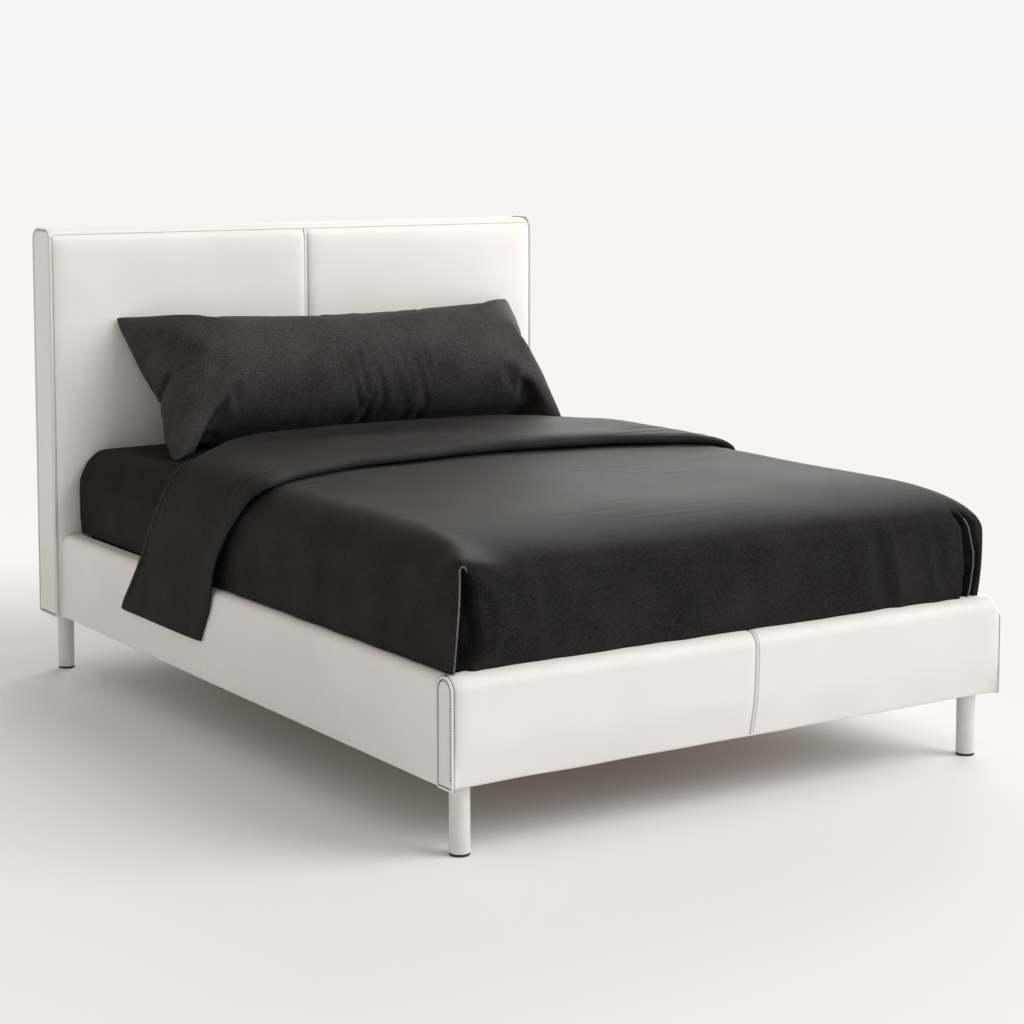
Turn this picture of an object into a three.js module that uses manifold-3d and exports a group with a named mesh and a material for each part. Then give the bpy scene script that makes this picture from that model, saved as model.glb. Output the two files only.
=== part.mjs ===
// Upholstered double bed: leather-covered headboard, side rails and low footboard on round legs,
// with a slatted base, a mattress in a fitted sheet, a turned-back duvet and one long pillow.
//
// Millimetres, +Z up. The origin is on the floor under the middle of the bed, the headboard is at
// +Y and the footboard at -Y. Left is -X and right is +X, as seen from the foot of the bed.

import * as THREE from "three";
import { mergeVertices } from "three/addons/utils/BufferGeometryUtils.js";
import Module from "manifold-3d";

const wasm = await Module();
wasm.setup();

// ---------- driving dimensions ----------

const GAP = 0.3; // between pieces that touch
const LEATHER = 3; // leather with its backing felt

const BED_WIDTH = 1550; // over the side rails and the footboard
const BED_LENGTH = 2190; // footboard front face to headboard back face
const FRAME_BOTTOM = 154; // underside of the rails, the footboard and the headboard
const FRAME_TOP = 388; // top of the rails and the footboard
const BOARD_DEPTH = 60; // thickness of a padded rail and of the footboard

const HEAD_WIDTH = 1584;
const HEAD_TOP = 1231;
const HEAD_DEPTH = 120;
const HEAD_ROLL = 34; // radius of the top edges, front and back
const END_CAP = 6; // thickness of a padded end cap
const HEAD_PANEL_DEPTH = 29; // from the front face back to the top seam
const HEAD_FRAME_DEPTH = 50;
const WELT = 8; // width of the raised welt down the headboard

const BOARD = 22; // timber of the rails and the footboard
const ROUND_RAIL = 16; // corner radius of a padded rail
const STEEL = 3; // brackets and leg plates

const LEG_RADIUS = 22.5;
const LEG_WALL = 2.5;
const LEG_FRONT = { x: 720, y: -1038 };
const LEG_REAR = { x: 748, y: 1012 };
const LEG_PLATE = 70;
const FOOT_HEIGHT = 7;

const SLAT_COUNT = 12;
const SLAT_WIDTH = 80;
const SLAT_THICK = 12;
const SLAT_CROWN = 6; // how far a sprung slat rises at its middle
const SLAT_SEAT = 302; // top of the ledges and of the centre beam's packing
const LEDGE = 30;
const BEAM_WIDTH = 40;
const BEAM_HEIGHT = 50;

const SUPPORT_RADIUS = 17.5;
const SUPPORT_Y = 330; // each support leg is this far from the middle of the bed
const STEM_RADIUS = 5;
const STEM_LENGTH = 34;
const SUPPORT_FOOT_HEIGHT = 16;

const MATTRESS_WIDTH = 1400;
const MATTRESS_LENGTH = 2000;
const MATTRESS_HEIGHT = 298;
const MATTRESS_ROUND = 30;
const SHEET = 1.2;
const SHEET_DROP = 250; // how far the fitted sheet reaches down the mattress's sides

const DUVET_TOP = 652;
const DUVET_HALF = 732;
const DUVET_FRONT = -1074;
const DUVET_HEAD = 598; // the fold at the head side
const DUVET_ROUND = 42;
const BAND_TOP = 684; // top of the turned-back layer
const BAND_FOOT = -45; // its free edge
const FLAP_IN = 779;
const FLAP_OUT = 790;
const FLAP_BOTTOM = 254;

const PILLOW = { halfWidth: 650, halfHeight: 232, halfThick: 84 };
const PILLOW_AT = { x: 45, y: 796, z: 818 };
const PILLOW_LEAN = 0.755; // radians back from upright

// ---------- derived places ----------

const halfWidth = BED_WIDTH / 2;
const frontY = -BED_LENGTH / 2;
const backY = BED_LENGTH / 2;
const footInnerY = frontY + BOARD_DEPTH;
const headFrontY = backY - HEAD_DEPTH;
const railInnerX = halfWidth - BOARD_DEPTH;
const innerMiddleY = (footInnerY + headFrontY) / 2;
const innerLength = headFrontY - footInnerY;
const slatTop = SLAT_SEAT + GAP + SLAT_THICK + SLAT_CROWN;
const mattressBottom = slatTop + GAP + SHEET;
const mattressTop = mattressBottom + MATTRESS_HEIGHT;

// ---------- materials ----------

function finish(color, roughness, metalness = 0) {
  return () => new THREE.MeshStandardMaterial({ color, roughness, metalness });
}

const leather = finish(0xe9e5dc, 0.5);
const timber = finish(0xc9a878, 0.7);
const beech = finish(0xd9bd8e, 0.5);
const foam = finish(0xe8dfb8, 0.95);
const steel = finish(0x8b8d90, 0.4, 1);
const paintedSteel = finish(0xeae7df, 0.4, 0.1);
const nylon = finish(0x1c1c1d, 0.6);
const lining = finish(0xd8d2c6, 0.95);
const ticking = finish(0xe4e2dc, 0.9);
const cotton = finish(0x2a2a2c, 0.9);

// ---------- geometry helpers ----------

const bed = new THREE.Group();

function add(name, geometry, material, x = 0, y = 0, z = 0) {
  const mesh = new THREE.Mesh(geometry, material());
  mesh.name = name;
  mesh.position.set(x, y, z);
  bed.add(mesh);
  return mesh;
}

function block(x0, x1, y0, y1, z0, z1) {
  const geometry = new THREE.BoxGeometry(x1 - x0, y1 - y0, z1 - z0);
  return geometry.translate((x0 + x1) / 2, (y0 + y1) / 2, (z0 + z1) / 2);
}

function polygon(points) {
  return new THREE.Shape(points.map(([a, b]) => new THREE.Vector2(a, b)));
}

// A rectangle with its own radius at each corner, counter-clockwise from the lower left.
function roundedRect(a0, a1, b0, b1, r) {
  const radius = Array.isArray(r) ? r : [r, r, r, r];
  const shape = new THREE.Shape();
  shape.moveTo(a0 + radius[0], b0);
  shape.lineTo(a1 - radius[1], b0);
  shape.absarc(a1 - radius[1], b0 + radius[1], radius[1], -Math.PI / 2, 0, false);
  shape.lineTo(a1, b1 - radius[2]);
  shape.absarc(a1 - radius[2], b1 - radius[2], radius[2], 0, Math.PI / 2, false);
  shape.lineTo(a0 + radius[3], b1);
  shape.absarc(a0 + radius[3], b1 - radius[3], radius[3], Math.PI / 2, Math.PI, false);
  shape.lineTo(a0, b0 + radius[0]);
  shape.absarc(a0 + radius[0], b0 + radius[0], radius[0], Math.PI, 1.5 * Math.PI, false);
  return shape;
}

function extrude(shape, depth, curveSegments = 5) {
  return new THREE.ExtrudeGeometry(shape, { depth, bevelEnabled: false, curveSegments });
}

// An outline drawn in (y, z), extruded from x0 to x1.
function alongX(shape, x0, x1, curveSegments) {
  const geometry = extrude(shape, x1 - x0, curveSegments);
  const basis = new THREE.Matrix4().makeBasis(
    new THREE.Vector3(0, 1, 0),
    new THREE.Vector3(0, 0, 1),
    new THREE.Vector3(1, 0, 0),
  );
  return geometry.applyMatrix4(basis).translate(x0, 0, 0);
}

// An outline drawn in (x, z), extruded from y0 to y1.
function alongY(shape, y0, y1, curveSegments) {
  const geometry = extrude(shape, y1 - y0, curveSegments);
  return geometry.rotateX(Math.PI / 2).translate(0, y1, 0);
}

// An outline drawn in (x, y), extruded from z0 to z1.
function alongZ(shape, z0, z1, curveSegments) {
  return extrude(shape, z1 - z0, curveSegments).translate(0, 0, z0);
}

// A solid of revolution about +Z from (radius, height) points that start and end on the axis.
function turned(points, segments = 20) {
  const profile = points.map(([r, z]) => new THREE.Vector2(r, z));
  return new THREE.LatheGeometry(profile, segments).rotateX(Math.PI / 2);
}

function toSolid(geometry) {
  const bare = geometry.clone();
  bare.deleteAttribute("normal");
  bare.deleteAttribute("uv");
  const merged = mergeVertices(bare, 1e-4);
  return new wasm.Manifold(
    new wasm.Mesh({
      numProp: 3,
      vertProperties: new Float32Array(merged.attributes.position.array),
      triVerts: new Uint32Array(merged.index.array),
    }),
  );
}

function toGeometry(solid) {
  const mesh = solid.getMesh();
  const geometry = new THREE.BufferGeometry();
  geometry.setAttribute("position", new THREE.BufferAttribute(mesh.vertProperties, 3));
  geometry.setIndex(new THREE.BufferAttribute(mesh.triVerts, 1));
  geometry.computeVertexNormals();
  return geometry;
}

function join(first, ...others) {
  return toGeometry(others.reduce((sum, each) => sum.add(toSolid(each)), toSolid(first)));
}

function common(first, second) {
  return toGeometry(toSolid(first).intersect(toSolid(second)));
}

function cut(from, ...tools) {
  return toGeometry(tools.reduce((rest, each) => rest.subtract(toSolid(each)), toSolid(from)));
}

// The outline of a closed cover: an outer rounded rectangle with a hole one leather thickness in.
function sleeve(a0, a1, b0, b1, radius) {
  const shape = roundedRect(a0, a1, b0, b1, radius);
  const innerRadius = radius.map((r) => Math.max(r - LEATHER, 1));
  const hole = roundedRect(a0 + LEATHER, a1 - LEATHER, b0 + LEATHER, b1 - LEATHER, innerRadius);
  shape.holes.push(hole);
  return shape;
}

const SIDES = [
  { side: "left", sign: -1 },
  { side: "right", sign: 1 },
];

// x values measured outwards from the middle, put on the left or the right side in rising order.
function across(sign, near, far) {
  return sign > 0 ? [near, far] : [-far, -near];
}

// The pocket that a leg's plate needs in the underside of the covers.
function plateCutter(x, y) {
  const half = LEG_PLATE / 2 + GAP;
  return block(x - half, x + half, y - half, y + half, FRAME_BOTTOM - 5, FRAME_BOTTOM + LEATHER + 1);
}

// ---------- headboard ----------

function headboard() {
  const half = HEAD_WIDTH / 2;
  const inner = half - END_CAP - GAP;
  const outline = [headFrontY, backY, FRAME_BOTTOM, HEAD_TOP, [8, 8, HEAD_ROLL, HEAD_ROLL]];
  const seamY = headFrontY + HEAD_PANEL_DEPTH;

  // Timber frame: two end stiles and three rails round a middle stile, glued up as one piece.
  const frameFront = backY - LEATHER - GAP - HEAD_FRAME_DEPTH;
  const frameBack = backY - LEATHER - GAP;
  const frameHalf = inner - 6;
  const frameTop = HEAD_TOP - HEAD_ROLL;
  const frameBottom = FRAME_BOTTOM + 10;
  const stile = 70;
  const middleZ = (FRAME_TOP + HEAD_TOP) / 2;
  const windows = [];
  for (const { sign } of SIDES) {
    const [x0, x1] = across(sign, stile / 2, frameHalf - stile);
    const y0 = frameFront - 1;
    const y1 = frameBack + 1;
    windows.push(block(x0, x1, y0, y1, FRAME_TOP + stile, middleZ - stile / 2));
    windows.push(block(x0, x1, y0, y1, middleZ + stile / 2, frameTop - stile));
  }
  const timberBlock = block(-frameHalf, frameHalf, frameFront, frameBack, frameBottom, frameTop);
  add("headboard_frame", cut(timberBlock, ...windows), timber);

  // Each half has a foam slab under a leather panel that rolls back over the top to a seam.
  const cutters = SIDES.map(({ sign }) => plateCutter(sign * LEG_REAR.x, LEG_REAR.y));
  const seamHalf = WELT / 2;
  const top = HEAD_TOP + 1;
  for (const { side, sign } of SIDES) {
    const [f0, f1] = across(sign, seamHalf + 2, frameHalf);
    const slab = block(f0, f1, headFrontY + 14, frameFront - GAP, frameBottom, frameTop - 4);
    add(`headboard_foam_${side}`, slab, foam);

    const [x0, x1] = across(sign, seamHalf + GAP, inner);
    const tube = alongX(sleeve(...outline), x0, x1);
    const front = block(x0 - 1, x1 + 1, headFrontY - 1, seamY - GAP, FRAME_BOTTOM - 1, top);
    const panel = cut(common(tube, front), ...cutters);
    add(`headboard_cover_${side}`, panel, leather);
  }

  // Raised welt down the middle seam, set into the foam.
  const weltTop = HEAD_TOP - HEAD_ROLL;
  const weltBottom = FRAME_BOTTOM + 8;
  const seam = block(-seamHalf, seamHalf, headFrontY, headFrontY + 12, weltBottom, weltTop);
  add("headboard_seam_welt", seam, leather);

  // Leather strip over the top, and lining cloth on a thin board over the back and the bottom.
  const split = HEAD_TOP - HEAD_ROLL - 12;
  const whole = alongX(sleeve(...outline), -inner, inner);
  const overTop = block(-half, half, seamY, backY + 1, split, top);
  add("headboard_top_strip", common(whole, overTop), leather);
  const behind = block(-half, half, seamY, backY + 1, FRAME_BOTTOM - 1, split - GAP);
  add("headboard_back_panel", cut(common(whole, behind), ...cutters), lining);

  // End caps, each with the welt sewn round its edge.
  for (const { side, sign } of SIDES) {
    const [x0, x1] = across(sign, inner + GAP, half);
    add(`headboard_end_cap_${side}`, alongX(roundedRect(...outline), x0, x1), leather);
  }
}

// ---------- footboard ----------

function footboard() {
  const inner = halfWidth - END_CAP - GAP;
  const arch = BOARD_DEPTH / 2 - 1;
  const outline = [frontY, footInnerY, FRAME_BOTTOM, FRAME_TOP, [8, 8, arch, arch]];
  const boardFront = (frontY + footInnerY) / 2 - 2;
  const far = inner - 4;
  const bottom = FRAME_BOTTOM + 8;
  const top = FRAME_TOP - 22;

  const board = block(-far, far, boardFront, boardFront + BOARD, bottom, top);
  add("footboard_board", board, timber);

  const pad = block(-far, far, frontY + 7, boardFront - GAP, bottom, top);
  add("footboard_foam", pad, foam);

  const cutters = SIDES.map(({ sign }) => plateCutter(sign * LEG_FRONT.x, LEG_FRONT.y));
  const cover = cut(alongX(sleeve(...outline), -inner, inner), ...cutters);
  add("footboard_cover", cover, leather);

  // End caps, each with the welt sewn round its edge.
  for (const { side, sign } of SIDES) {
    const [x0, x1] = across(sign, inner + GAP, halfWidth);
    add(`footboard_end_cap_${side}`, alongX(roundedRect(...outline), x0, x1), leather);
  }
}

// ---------- side rails, ledges and corner brackets ----------

function sideRails() {
  const y0 = footInnerY + GAP;
  const y1 = headFrontY - GAP;
  for (const { side, sign } of SIDES) {
    const coverInner = railInnerX;
    const [c0, c1] = across(sign, coverInner, halfWidth);
    const radius = [8, 8, ROUND_RAIL, ROUND_RAIL];
    const tube = alongY(sleeve(c0, c1, FRAME_BOTTOM, FRAME_TOP, radius), y0, y1);
    const cutters = [
      plateCutter(sign * LEG_FRONT.x, LEG_FRONT.y),
      plateCutter(sign * LEG_REAR.x, LEG_REAR.y),
    ];
    add(`rail_cover_${side}`, cut(tube, ...cutters), leather);

    const boardNear = railInnerX + LEATHER + GAP;
    const [b0, b1] = across(sign, boardNear, boardNear + BOARD);
    const board = block(b0, b1, y0, y1, FRAME_BOTTOM + 8, FRAME_TOP - ROUND_RAIL);
    add(`side_rail_${side}`, board, timber);

    const [f0, f1] = across(sign, boardNear + BOARD + GAP, halfWidth - LEATHER - 3);
    const pad = block(f0, f1, y0, y1, FRAME_BOTTOM + 8, FRAME_TOP - ROUND_RAIL);
    add(`rail_foam_${side}`, pad, foam);

    const [l0, l1] = across(sign, railInnerX - LEDGE, railInnerX - GAP);
    const ledge = block(l0, l1, y0, y1, SLAT_SEAT - LEDGE, SLAT_SEAT);
    add(`slat_ledge_${side}`, ledge, timber);
  }
}

// A steel angle inside each corner, screwed to the rail and to the headboard or footboard.
function cornerBrackets() {
  const reach = 62;
  const z0 = FRAME_BOTTOM + 20;
  const z1 = SLAT_SEAT - LEDGE - 4;
  const ends = [
    { end: "front", wall: footInnerY + GAP, inward: 1 },
    { end: "rear", wall: headFrontY - GAP, inward: -1 },
  ];
  for (const { end, wall, inward } of ends) {
    for (const { side, sign } of SIDES) {
      const [a0, a1] = across(sign, railInnerX - GAP - STEEL, railInnerX - GAP);
      const [b0, b1] = across(sign, railInnerX - GAP - reach, railInnerX - GAP);
      const yFar = wall + inward * reach;
      const yNear = wall + inward * STEEL;
      const onRail = block(a0, a1, Math.min(wall, yFar), Math.max(wall, yFar), z0, z1);
      const onEnd = block(b0, b1, Math.min(wall, yNear), Math.max(wall, yNear), z0, z1);
      add(`corner_bracket_${end}_${side}`, join(onRail, onEnd), steel);
    }
  }
}

// ---------- legs ----------

// A steel tube with its fixing plate welded on top. The plate sits in the covers' pocket.
function legGeometry() {
  const top = FRAME_BOTTOM;
  const inner = LEG_RADIUS - LEG_WALL;
  const tube = turned([
    [0, top - 3],
    [inner, top - 3],
    [inner, FOOT_HEIGHT + GAP],
    [LEG_RADIUS, FOOT_HEIGHT + GAP],
    [LEG_RADIUS, top + 1],
    [0, top + 1],
  ]);
  const half = LEG_PLATE / 2;
  const plate = alongZ(roundedRect(-half, half, -half, half, 8), top + 0.2, top + LEATHER, 3);
  return join(tube, plate);
}

// A nylon foot: a ring as wide as the tube, with a plug that is pressed up inside it.
function footGeometry() {
  const plug = LEG_RADIUS - LEG_WALL - GAP;
  return turned([
    [0, 0],
    [LEG_RADIUS - 1.5, 0],
    [LEG_RADIUS, 1.5],
    [LEG_RADIUS, FOOT_HEIGHT],
    [plug, FOOT_HEIGHT],
    [plug, FOOT_HEIGHT + 16],
    [0, FOOT_HEIGHT + 16],
  ]);
}

function legs() {
  const rows = [
    { end: "front", at: LEG_FRONT },
    { end: "rear", at: LEG_REAR },
  ];
  for (const { end, at } of rows) {
    for (const { side, sign } of SIDES) {
      add(`leg_${end}_${side}`, legGeometry(), paintedSteel, sign * at.x, at.y);
      add(`leg_foot_${end}_${side}`, footGeometry(), nylon, sign * at.x, at.y);
    }
  }
}

// ---------- slatted base ----------

function slattedBase() {
  const beamTop = SLAT_SEAT + SLAT_CROWN;
  const beamBottom = beamTop - BEAM_HEIGHT;
  const y0 = footInnerY + STEEL + 2 * GAP;
  const y1 = headFrontY - STEEL - 2 * GAP;
  const beam = block(-BEAM_WIDTH / 2, BEAM_WIDTH / 2, y0, y1, beamBottom, beamTop);
  add("centre_beam", beam, timber);

  // A steel stirrup holds each end of the centre beam.
  const ends = [
    { end: "front", wall: footInnerY + GAP, inward: 1 },
    { end: "rear", wall: headFrontY - GAP, inward: -1 },
  ];
  for (const { end, wall, inward } of ends) {
    const near = wall + inward * STEEL;
    const far = wall + inward * 40;
    const outerHalf = BEAM_WIDTH / 2 + GAP + STEEL;
    const floor = beamBottom - GAP - STEEL;
    const depth = [Math.min(wall, far), Math.max(wall, far)];
    const body = block(-outerHalf, outerHalf, ...depth, floor, beamTop - 12);
    const hollow = inward > 0 ? [near, far + 1] : [far - 1, near];
    const half = BEAM_WIDTH / 2 + GAP;
    const slot = block(-half, half, ...hollow, beamBottom - GAP, beamTop + 1);
    add(`beam_stirrup_${end}`, cut(body, slot), steel);
  }

  // Sprung slats, crowned in the middle, on the ledges and the beam.
  const slatHalf = railInnerX - 4;
  const pitch = (innerLength - SLAT_WIDTH - 60) / (SLAT_COUNT - 1);
  const radius = (slatHalf * slatHalf + SLAT_CROWN * SLAT_CROWN) / (2 * SLAT_CROWN);
  const sweep = Math.asin(slatHalf / radius);
  for (let i = 0; i < SLAT_COUNT; i += 1) {
    const y = footInnerY + 30 + SLAT_WIDTH / 2 + i * pitch;
    const base = SLAT_SEAT + GAP;
    const shape = new THREE.Shape();
    const centre = base - radius + SLAT_CROWN;
    shape.absarc(0, centre, radius, Math.PI / 2 + sweep, Math.PI / 2 - sweep, true);
    shape.absarc(
      0, centre, radius + SLAT_THICK, Math.PI / 2 - sweep, Math.PI / 2 + sweep, false,
    );
    const geometry = alongY(shape, y - SLAT_WIDTH / 2, y + SLAT_WIDTH / 2, 5);
    add(`slat_${String(i + 1).padStart(2, "0")}`, geometry, beech);
  }

  // Two support legs under the beam, each with a levelling foot on a threaded stem.
  const legTop = beamBottom - GAP;
  for (const { end, y } of [{ end: "front", y: -SUPPORT_Y }, { end: "rear", y: SUPPORT_Y }]) {
    const bore = STEM_RADIUS + GAP;
    const bottom = SUPPORT_FOOT_HEIGHT + GAP;
    const tube = turned([
      [0, bottom + STEM_LENGTH + 4],
      [bore, bottom + STEM_LENGTH + 4],
      [bore, bottom],
      [SUPPORT_RADIUS, bottom],
      [SUPPORT_RADIUS, legTop],
      [0, legTop],
    ]);
    add(`support_leg_${end}`, tube, steel, 0, y);
    const foot = turned([
      [0, 0],
      [20, 0],
      [22, 2],
      [22, 8],
      [12, 10],
      [12, SUPPORT_FOOT_HEIGHT],
      [STEM_RADIUS, SUPPORT_FOOT_HEIGHT],
      [STEM_RADIUS, SUPPORT_FOOT_HEIGHT + STEM_LENGTH],
      [0, SUPPORT_FOOT_HEIGHT + STEM_LENGTH],
    ]);
    add(`support_foot_${end}`, foot, nylon, 0, y);
  }
}

// ---------- bedding ----------

function softBlock(x, y0, y1, z0, z1, round) {
  return alongY(roundedRect(-x, x, z0, z1, round), y0, y1, 4);
}

function mattress() {
  const half = MATTRESS_WIDTH / 2;
  const y0 = innerMiddleY - MATTRESS_LENGTH / 2;
  const y1 = innerMiddleY + MATTRESS_LENGTH / 2;
  const geometry = softBlock(half, y0, y1, mattressBottom, mattressTop, MATTRESS_ROUND);
  add("mattress", geometry, ticking);

  // The fitted sheet is a thin skin over the top and the sides, open below.
  const out = GAP + SHEET;
  const bottom = mattressTop - SHEET_DROP;
  const skin = softBlock(
    half + out, y0 - out, y1 + out, mattressBottom, mattressTop + out, MATTRESS_ROUND + out,
  );
  const below = block(-half - 9, half + 9, y0 - 9, y1 + 9, mattressBottom - 9, bottom);
  const room = softBlock(
    half + GAP, y0 - GAP, y1 + GAP, mattressBottom - 2, mattressTop + GAP, MATTRESS_ROUND + GAP,
  );
  add("fitted_sheet", cut(skin, below, room), cotton);
}

// The duvet lies over the mattress, falls to the rails and the footboard, and is turned back at
// the head. The turned-back layer hangs outside both rails as a flap.
function duvet() {
  const bottom = FRAME_TOP + 5;
  const inside = MATTRESS_WIDTH / 2 + 2 * GAP + SHEET + 3;
  const insideFront = innerMiddleY - MATTRESS_LENGTH / 2 - 2 * GAP - SHEET - 1;
  const under = mattressTop + 2 * GAP + SHEET + 1;
  const corner = [4, 4, DUVET_ROUND, DUVET_ROUND];
  const body = softBlock(DUVET_HALF, DUVET_FRONT, DUVET_HEAD, bottom, DUVET_TOP, corner);
  const frontRound = polygon([
    [DUVET_FRONT - 1, DUVET_TOP + 1],
    [DUVET_FRONT - 1, DUVET_TOP - DUVET_ROUND],
    [DUVET_FRONT + DUVET_ROUND * 0.3, DUVET_TOP - DUVET_ROUND * 0.3],
    [DUVET_FRONT + DUVET_ROUND, DUVET_TOP + 1],
  ]);
  const room = softBlock(inside, insideFront, DUVET_HEAD + 9, bottom - 9, under, [0, 0, 20, 20]);
  const main = cut(body, alongX(frontRound, -900, 900), room);

  const bandHalf = DUVET_HALF + 10;
  const band = softBlock(
    bandHalf, BAND_FOOT, DUVET_HEAD, DUVET_TOP - 120, BAND_TOP, [4, 4, 50, 50],
  );
  const bandRoom = softBlock(
    DUVET_HALF - 6, BAND_FOOT - 1, DUVET_HEAD + 1, DUVET_TOP - 121, DUVET_TOP - 4, [0, 0, 36, 36],
  );
  const parts = [cut(band, bandRoom)];

  // Each flap leaves the band's side, crosses the top of the rail and hangs outside it.
  for (const { sign } of SIDES) {
    const slope = polygon([
      [sign * (DUVET_HALF - 6), bottom],
      [sign * FLAP_OUT, bottom],
      [sign * FLAP_OUT, bottom + 16],
      [sign * bandHalf, DUVET_TOP - 100],
      [sign * (DUVET_HALF - 6), DUVET_TOP - 100],
    ]);
    parts.push(alongY(slope, 0, DUVET_HEAD - 10));
    const [x0, x1] = across(sign, FLAP_IN, FLAP_OUT);
    const flap = polygon([
      [77, FLAP_BOTTOM],
      [542, FLAP_BOTTOM + 8],
      [DUVET_HEAD - 14, bottom + 10],
      [4, bottom + 10],
    ]);
    parts.push(alongX(flap, x0, x1));
  }
  add("duvet", join(main, ...parts), cotton);
}

// One long pillow that leans on the headboard: a cushion outline with soft corners and thin edges.
function pillow() {
  const geometry = new THREE.SphereGeometry(1, 28, 12);
  const near = 1e-9;
  const soften = (value, power) =>
    Math.abs(value) < near ? 0 : Math.sign(value) * Math.abs(value) ** power;
  const at = geometry.attributes.position;
  for (let i = 0; i < at.count; i += 1) {
    const flat = Math.hypot(at.getX(i), at.getZ(i));
    const lift = at.getY(i);
    const cos = flat > near ? at.getX(i) / flat : 0;
    const sin = flat > near ? at.getZ(i) / flat : 0;
    const spread = soften(flat, 0.75);
    const x = PILLOW.halfWidth * spread * soften(cos, 0.35);
    const z = PILLOW.halfHeight * spread * soften(sin, 0.35);
    at.setXYZ(i, x, PILLOW.halfThick * soften(lift, 1.1), z);
  }
  geometry.computeVertexNormals();
  const mesh = add("pillow", geometry, cotton, PILLOW_AT.x, PILLOW_AT.y, PILLOW_AT.z);
  mesh.rotation.x = -PILLOW_LEAN;
}

headboard();
footboard();
sideRails();
cornerBrackets();
legs();
slattedBase();
mattress();
duvet();
pillow();

export default bed;
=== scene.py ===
"""Looks of the upholstered double bed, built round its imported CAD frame. Metres, +Z up, headboard at +Y."""

import math

import bmesh
import bpy
import numpy as np
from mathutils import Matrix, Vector


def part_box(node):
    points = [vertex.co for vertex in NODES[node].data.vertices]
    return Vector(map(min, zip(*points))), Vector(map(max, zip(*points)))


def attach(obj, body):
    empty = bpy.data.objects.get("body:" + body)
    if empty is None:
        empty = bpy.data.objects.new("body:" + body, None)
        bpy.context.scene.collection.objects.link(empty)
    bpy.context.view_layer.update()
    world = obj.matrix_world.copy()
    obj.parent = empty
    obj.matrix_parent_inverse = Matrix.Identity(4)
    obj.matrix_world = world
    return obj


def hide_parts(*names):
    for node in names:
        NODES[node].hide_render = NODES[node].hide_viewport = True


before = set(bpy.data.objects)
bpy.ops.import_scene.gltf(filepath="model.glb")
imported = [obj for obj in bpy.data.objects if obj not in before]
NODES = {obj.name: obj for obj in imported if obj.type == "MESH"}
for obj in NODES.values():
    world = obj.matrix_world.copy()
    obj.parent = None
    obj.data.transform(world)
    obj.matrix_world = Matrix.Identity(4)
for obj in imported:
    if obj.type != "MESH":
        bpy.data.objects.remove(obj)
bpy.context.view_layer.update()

# ---------- sizes, in metres ----------

LEATHER = 0.003  # leather with its backing felt
WELT_RADIUS = 0.0027
STITCH_PITCH = 0.0058
STITCH_LENGTH = 0.0036
STITCH_RADIUS = 0.0009
SEAM_LINE = 0.0009  # radius of the dark line laid in a seam: painted shade of its groove, drawn as a thin cord
FIT = 0.0004  # clearance between neighbouring pieces
BOARD_EDGE = 0.008  # radius of the lower edges of headboard and footboard
HEAD_ROLL = 0.034  # radius of the headboard's top edges
HEAD_SEAM_ANGLE = 150.0  # where the top seam lies on the front roll: 90 is on top, 180 in front
HEAD_SWELL = 0.013  # how far the padding swells between the seams
SEAM_BAND = 0.0042  # half width of the raised welt down the headboard's middle
FOOT_SEAM_X = 0.018
FOOT_RIGHT_CAP = 0.0045  # thickness of the footboard's right cap
FOOT_COUNTS = (5, 22, 1)  # points across, up and over the footboard's outline
FOOT_END_ROLL = 0.036  # roll of the footboard's right end
RAIL_SEAM_Y = 0.045
RAIL_END_ROLL = 0.040
RAIL_GAP = 0.0022  # shadow gap at a rail's two ends
SHEET_THICK = 0.0012
SHEET_DROP = 0.25
MATTRESS_ROUND = 0.045
MATTRESS_BULGE = 0.034
COTTON_SHEEN = 0.032
SIDES = (("left", -1), ("right", 1))


# ---------- small tools ----------


def smooth(edge0, edge1, value):
    """0 below edge0, 1 above edge1, eased in between."""
    t = np.clip((value - edge0) / (edge1 - edge0), 0.0, 1.0)
    return t * t * (3 - 2 * t)


def bell(value, width):
    return np.exp(-((value / width) ** 2))


def waves(u, v, seed, count, u_range, v_range):
    """A random smooth field of about unit height: a sum of waves with these cycles per metre."""
    rng = np.random.default_rng(seed)
    total = np.zeros(np.broadcast(u, v).shape)
    for _ in range(count):
        ku = rng.uniform(*u_range) * rng.choice([-1, 1])
        kv = rng.uniform(*v_range)
        phase = rng.uniform(0, 2 * math.pi)
        total = total + np.cos(2 * math.pi * (ku * u + kv * v) + phase)
    return total * math.sqrt(2.0 / count) * 0.7


def stations(start, end, step, reach, fine, marks=None):
    """Rising values from start to end, about step apart, and fine apart near the marks or the two ends."""
    values = list(np.linspace(start, end, max(2, int(round((end - start) / step)) + 1)))
    for mark in marks or (start, end):
        offset = 0.0
        gap = fine * 0.3
        while offset <= reach:
            values += [mark - offset, mark + offset]
            offset += gap
            gap = min(gap * 1.25, fine * 3)
    kept = []
    for value in sorted(v for v in values if start - 1e-9 <= v <= end + 1e-9):
        if not kept or value - kept[-1] > 0.0005:
            kept.append(value)
    kept[-1] = end
    return np.array(kept)


def make(name, points, faces, material, body="root", replaces=(), sharp=50):
    """A mesh piece that rides on a body and stands for the CAD nodes in replaces."""
    mesh = bpy.data.meshes.new(name)
    mesh.from_pydata([tuple(map(float, p)) for p in points], [], [list(f) for f in faces])
    bm = bmesh.new()
    bm.from_mesh(mesh)
    bmesh.ops.recalc_face_normals(bm, faces=bm.faces)
    bm.to_mesh(mesh)
    bm.free()
    mesh.polygons.foreach_set("use_smooth", [True] * len(mesh.polygons))
    mesh.set_sharp_from_angle(angle=math.radians(sharp))
    mesh.materials.append(material)
    piece = bpy.data.objects.new(name, mesh)
    bpy.context.scene.collection.objects.link(piece)
    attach(piece, body)
    if replaces:
        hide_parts(*replaces)
    return piece


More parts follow.
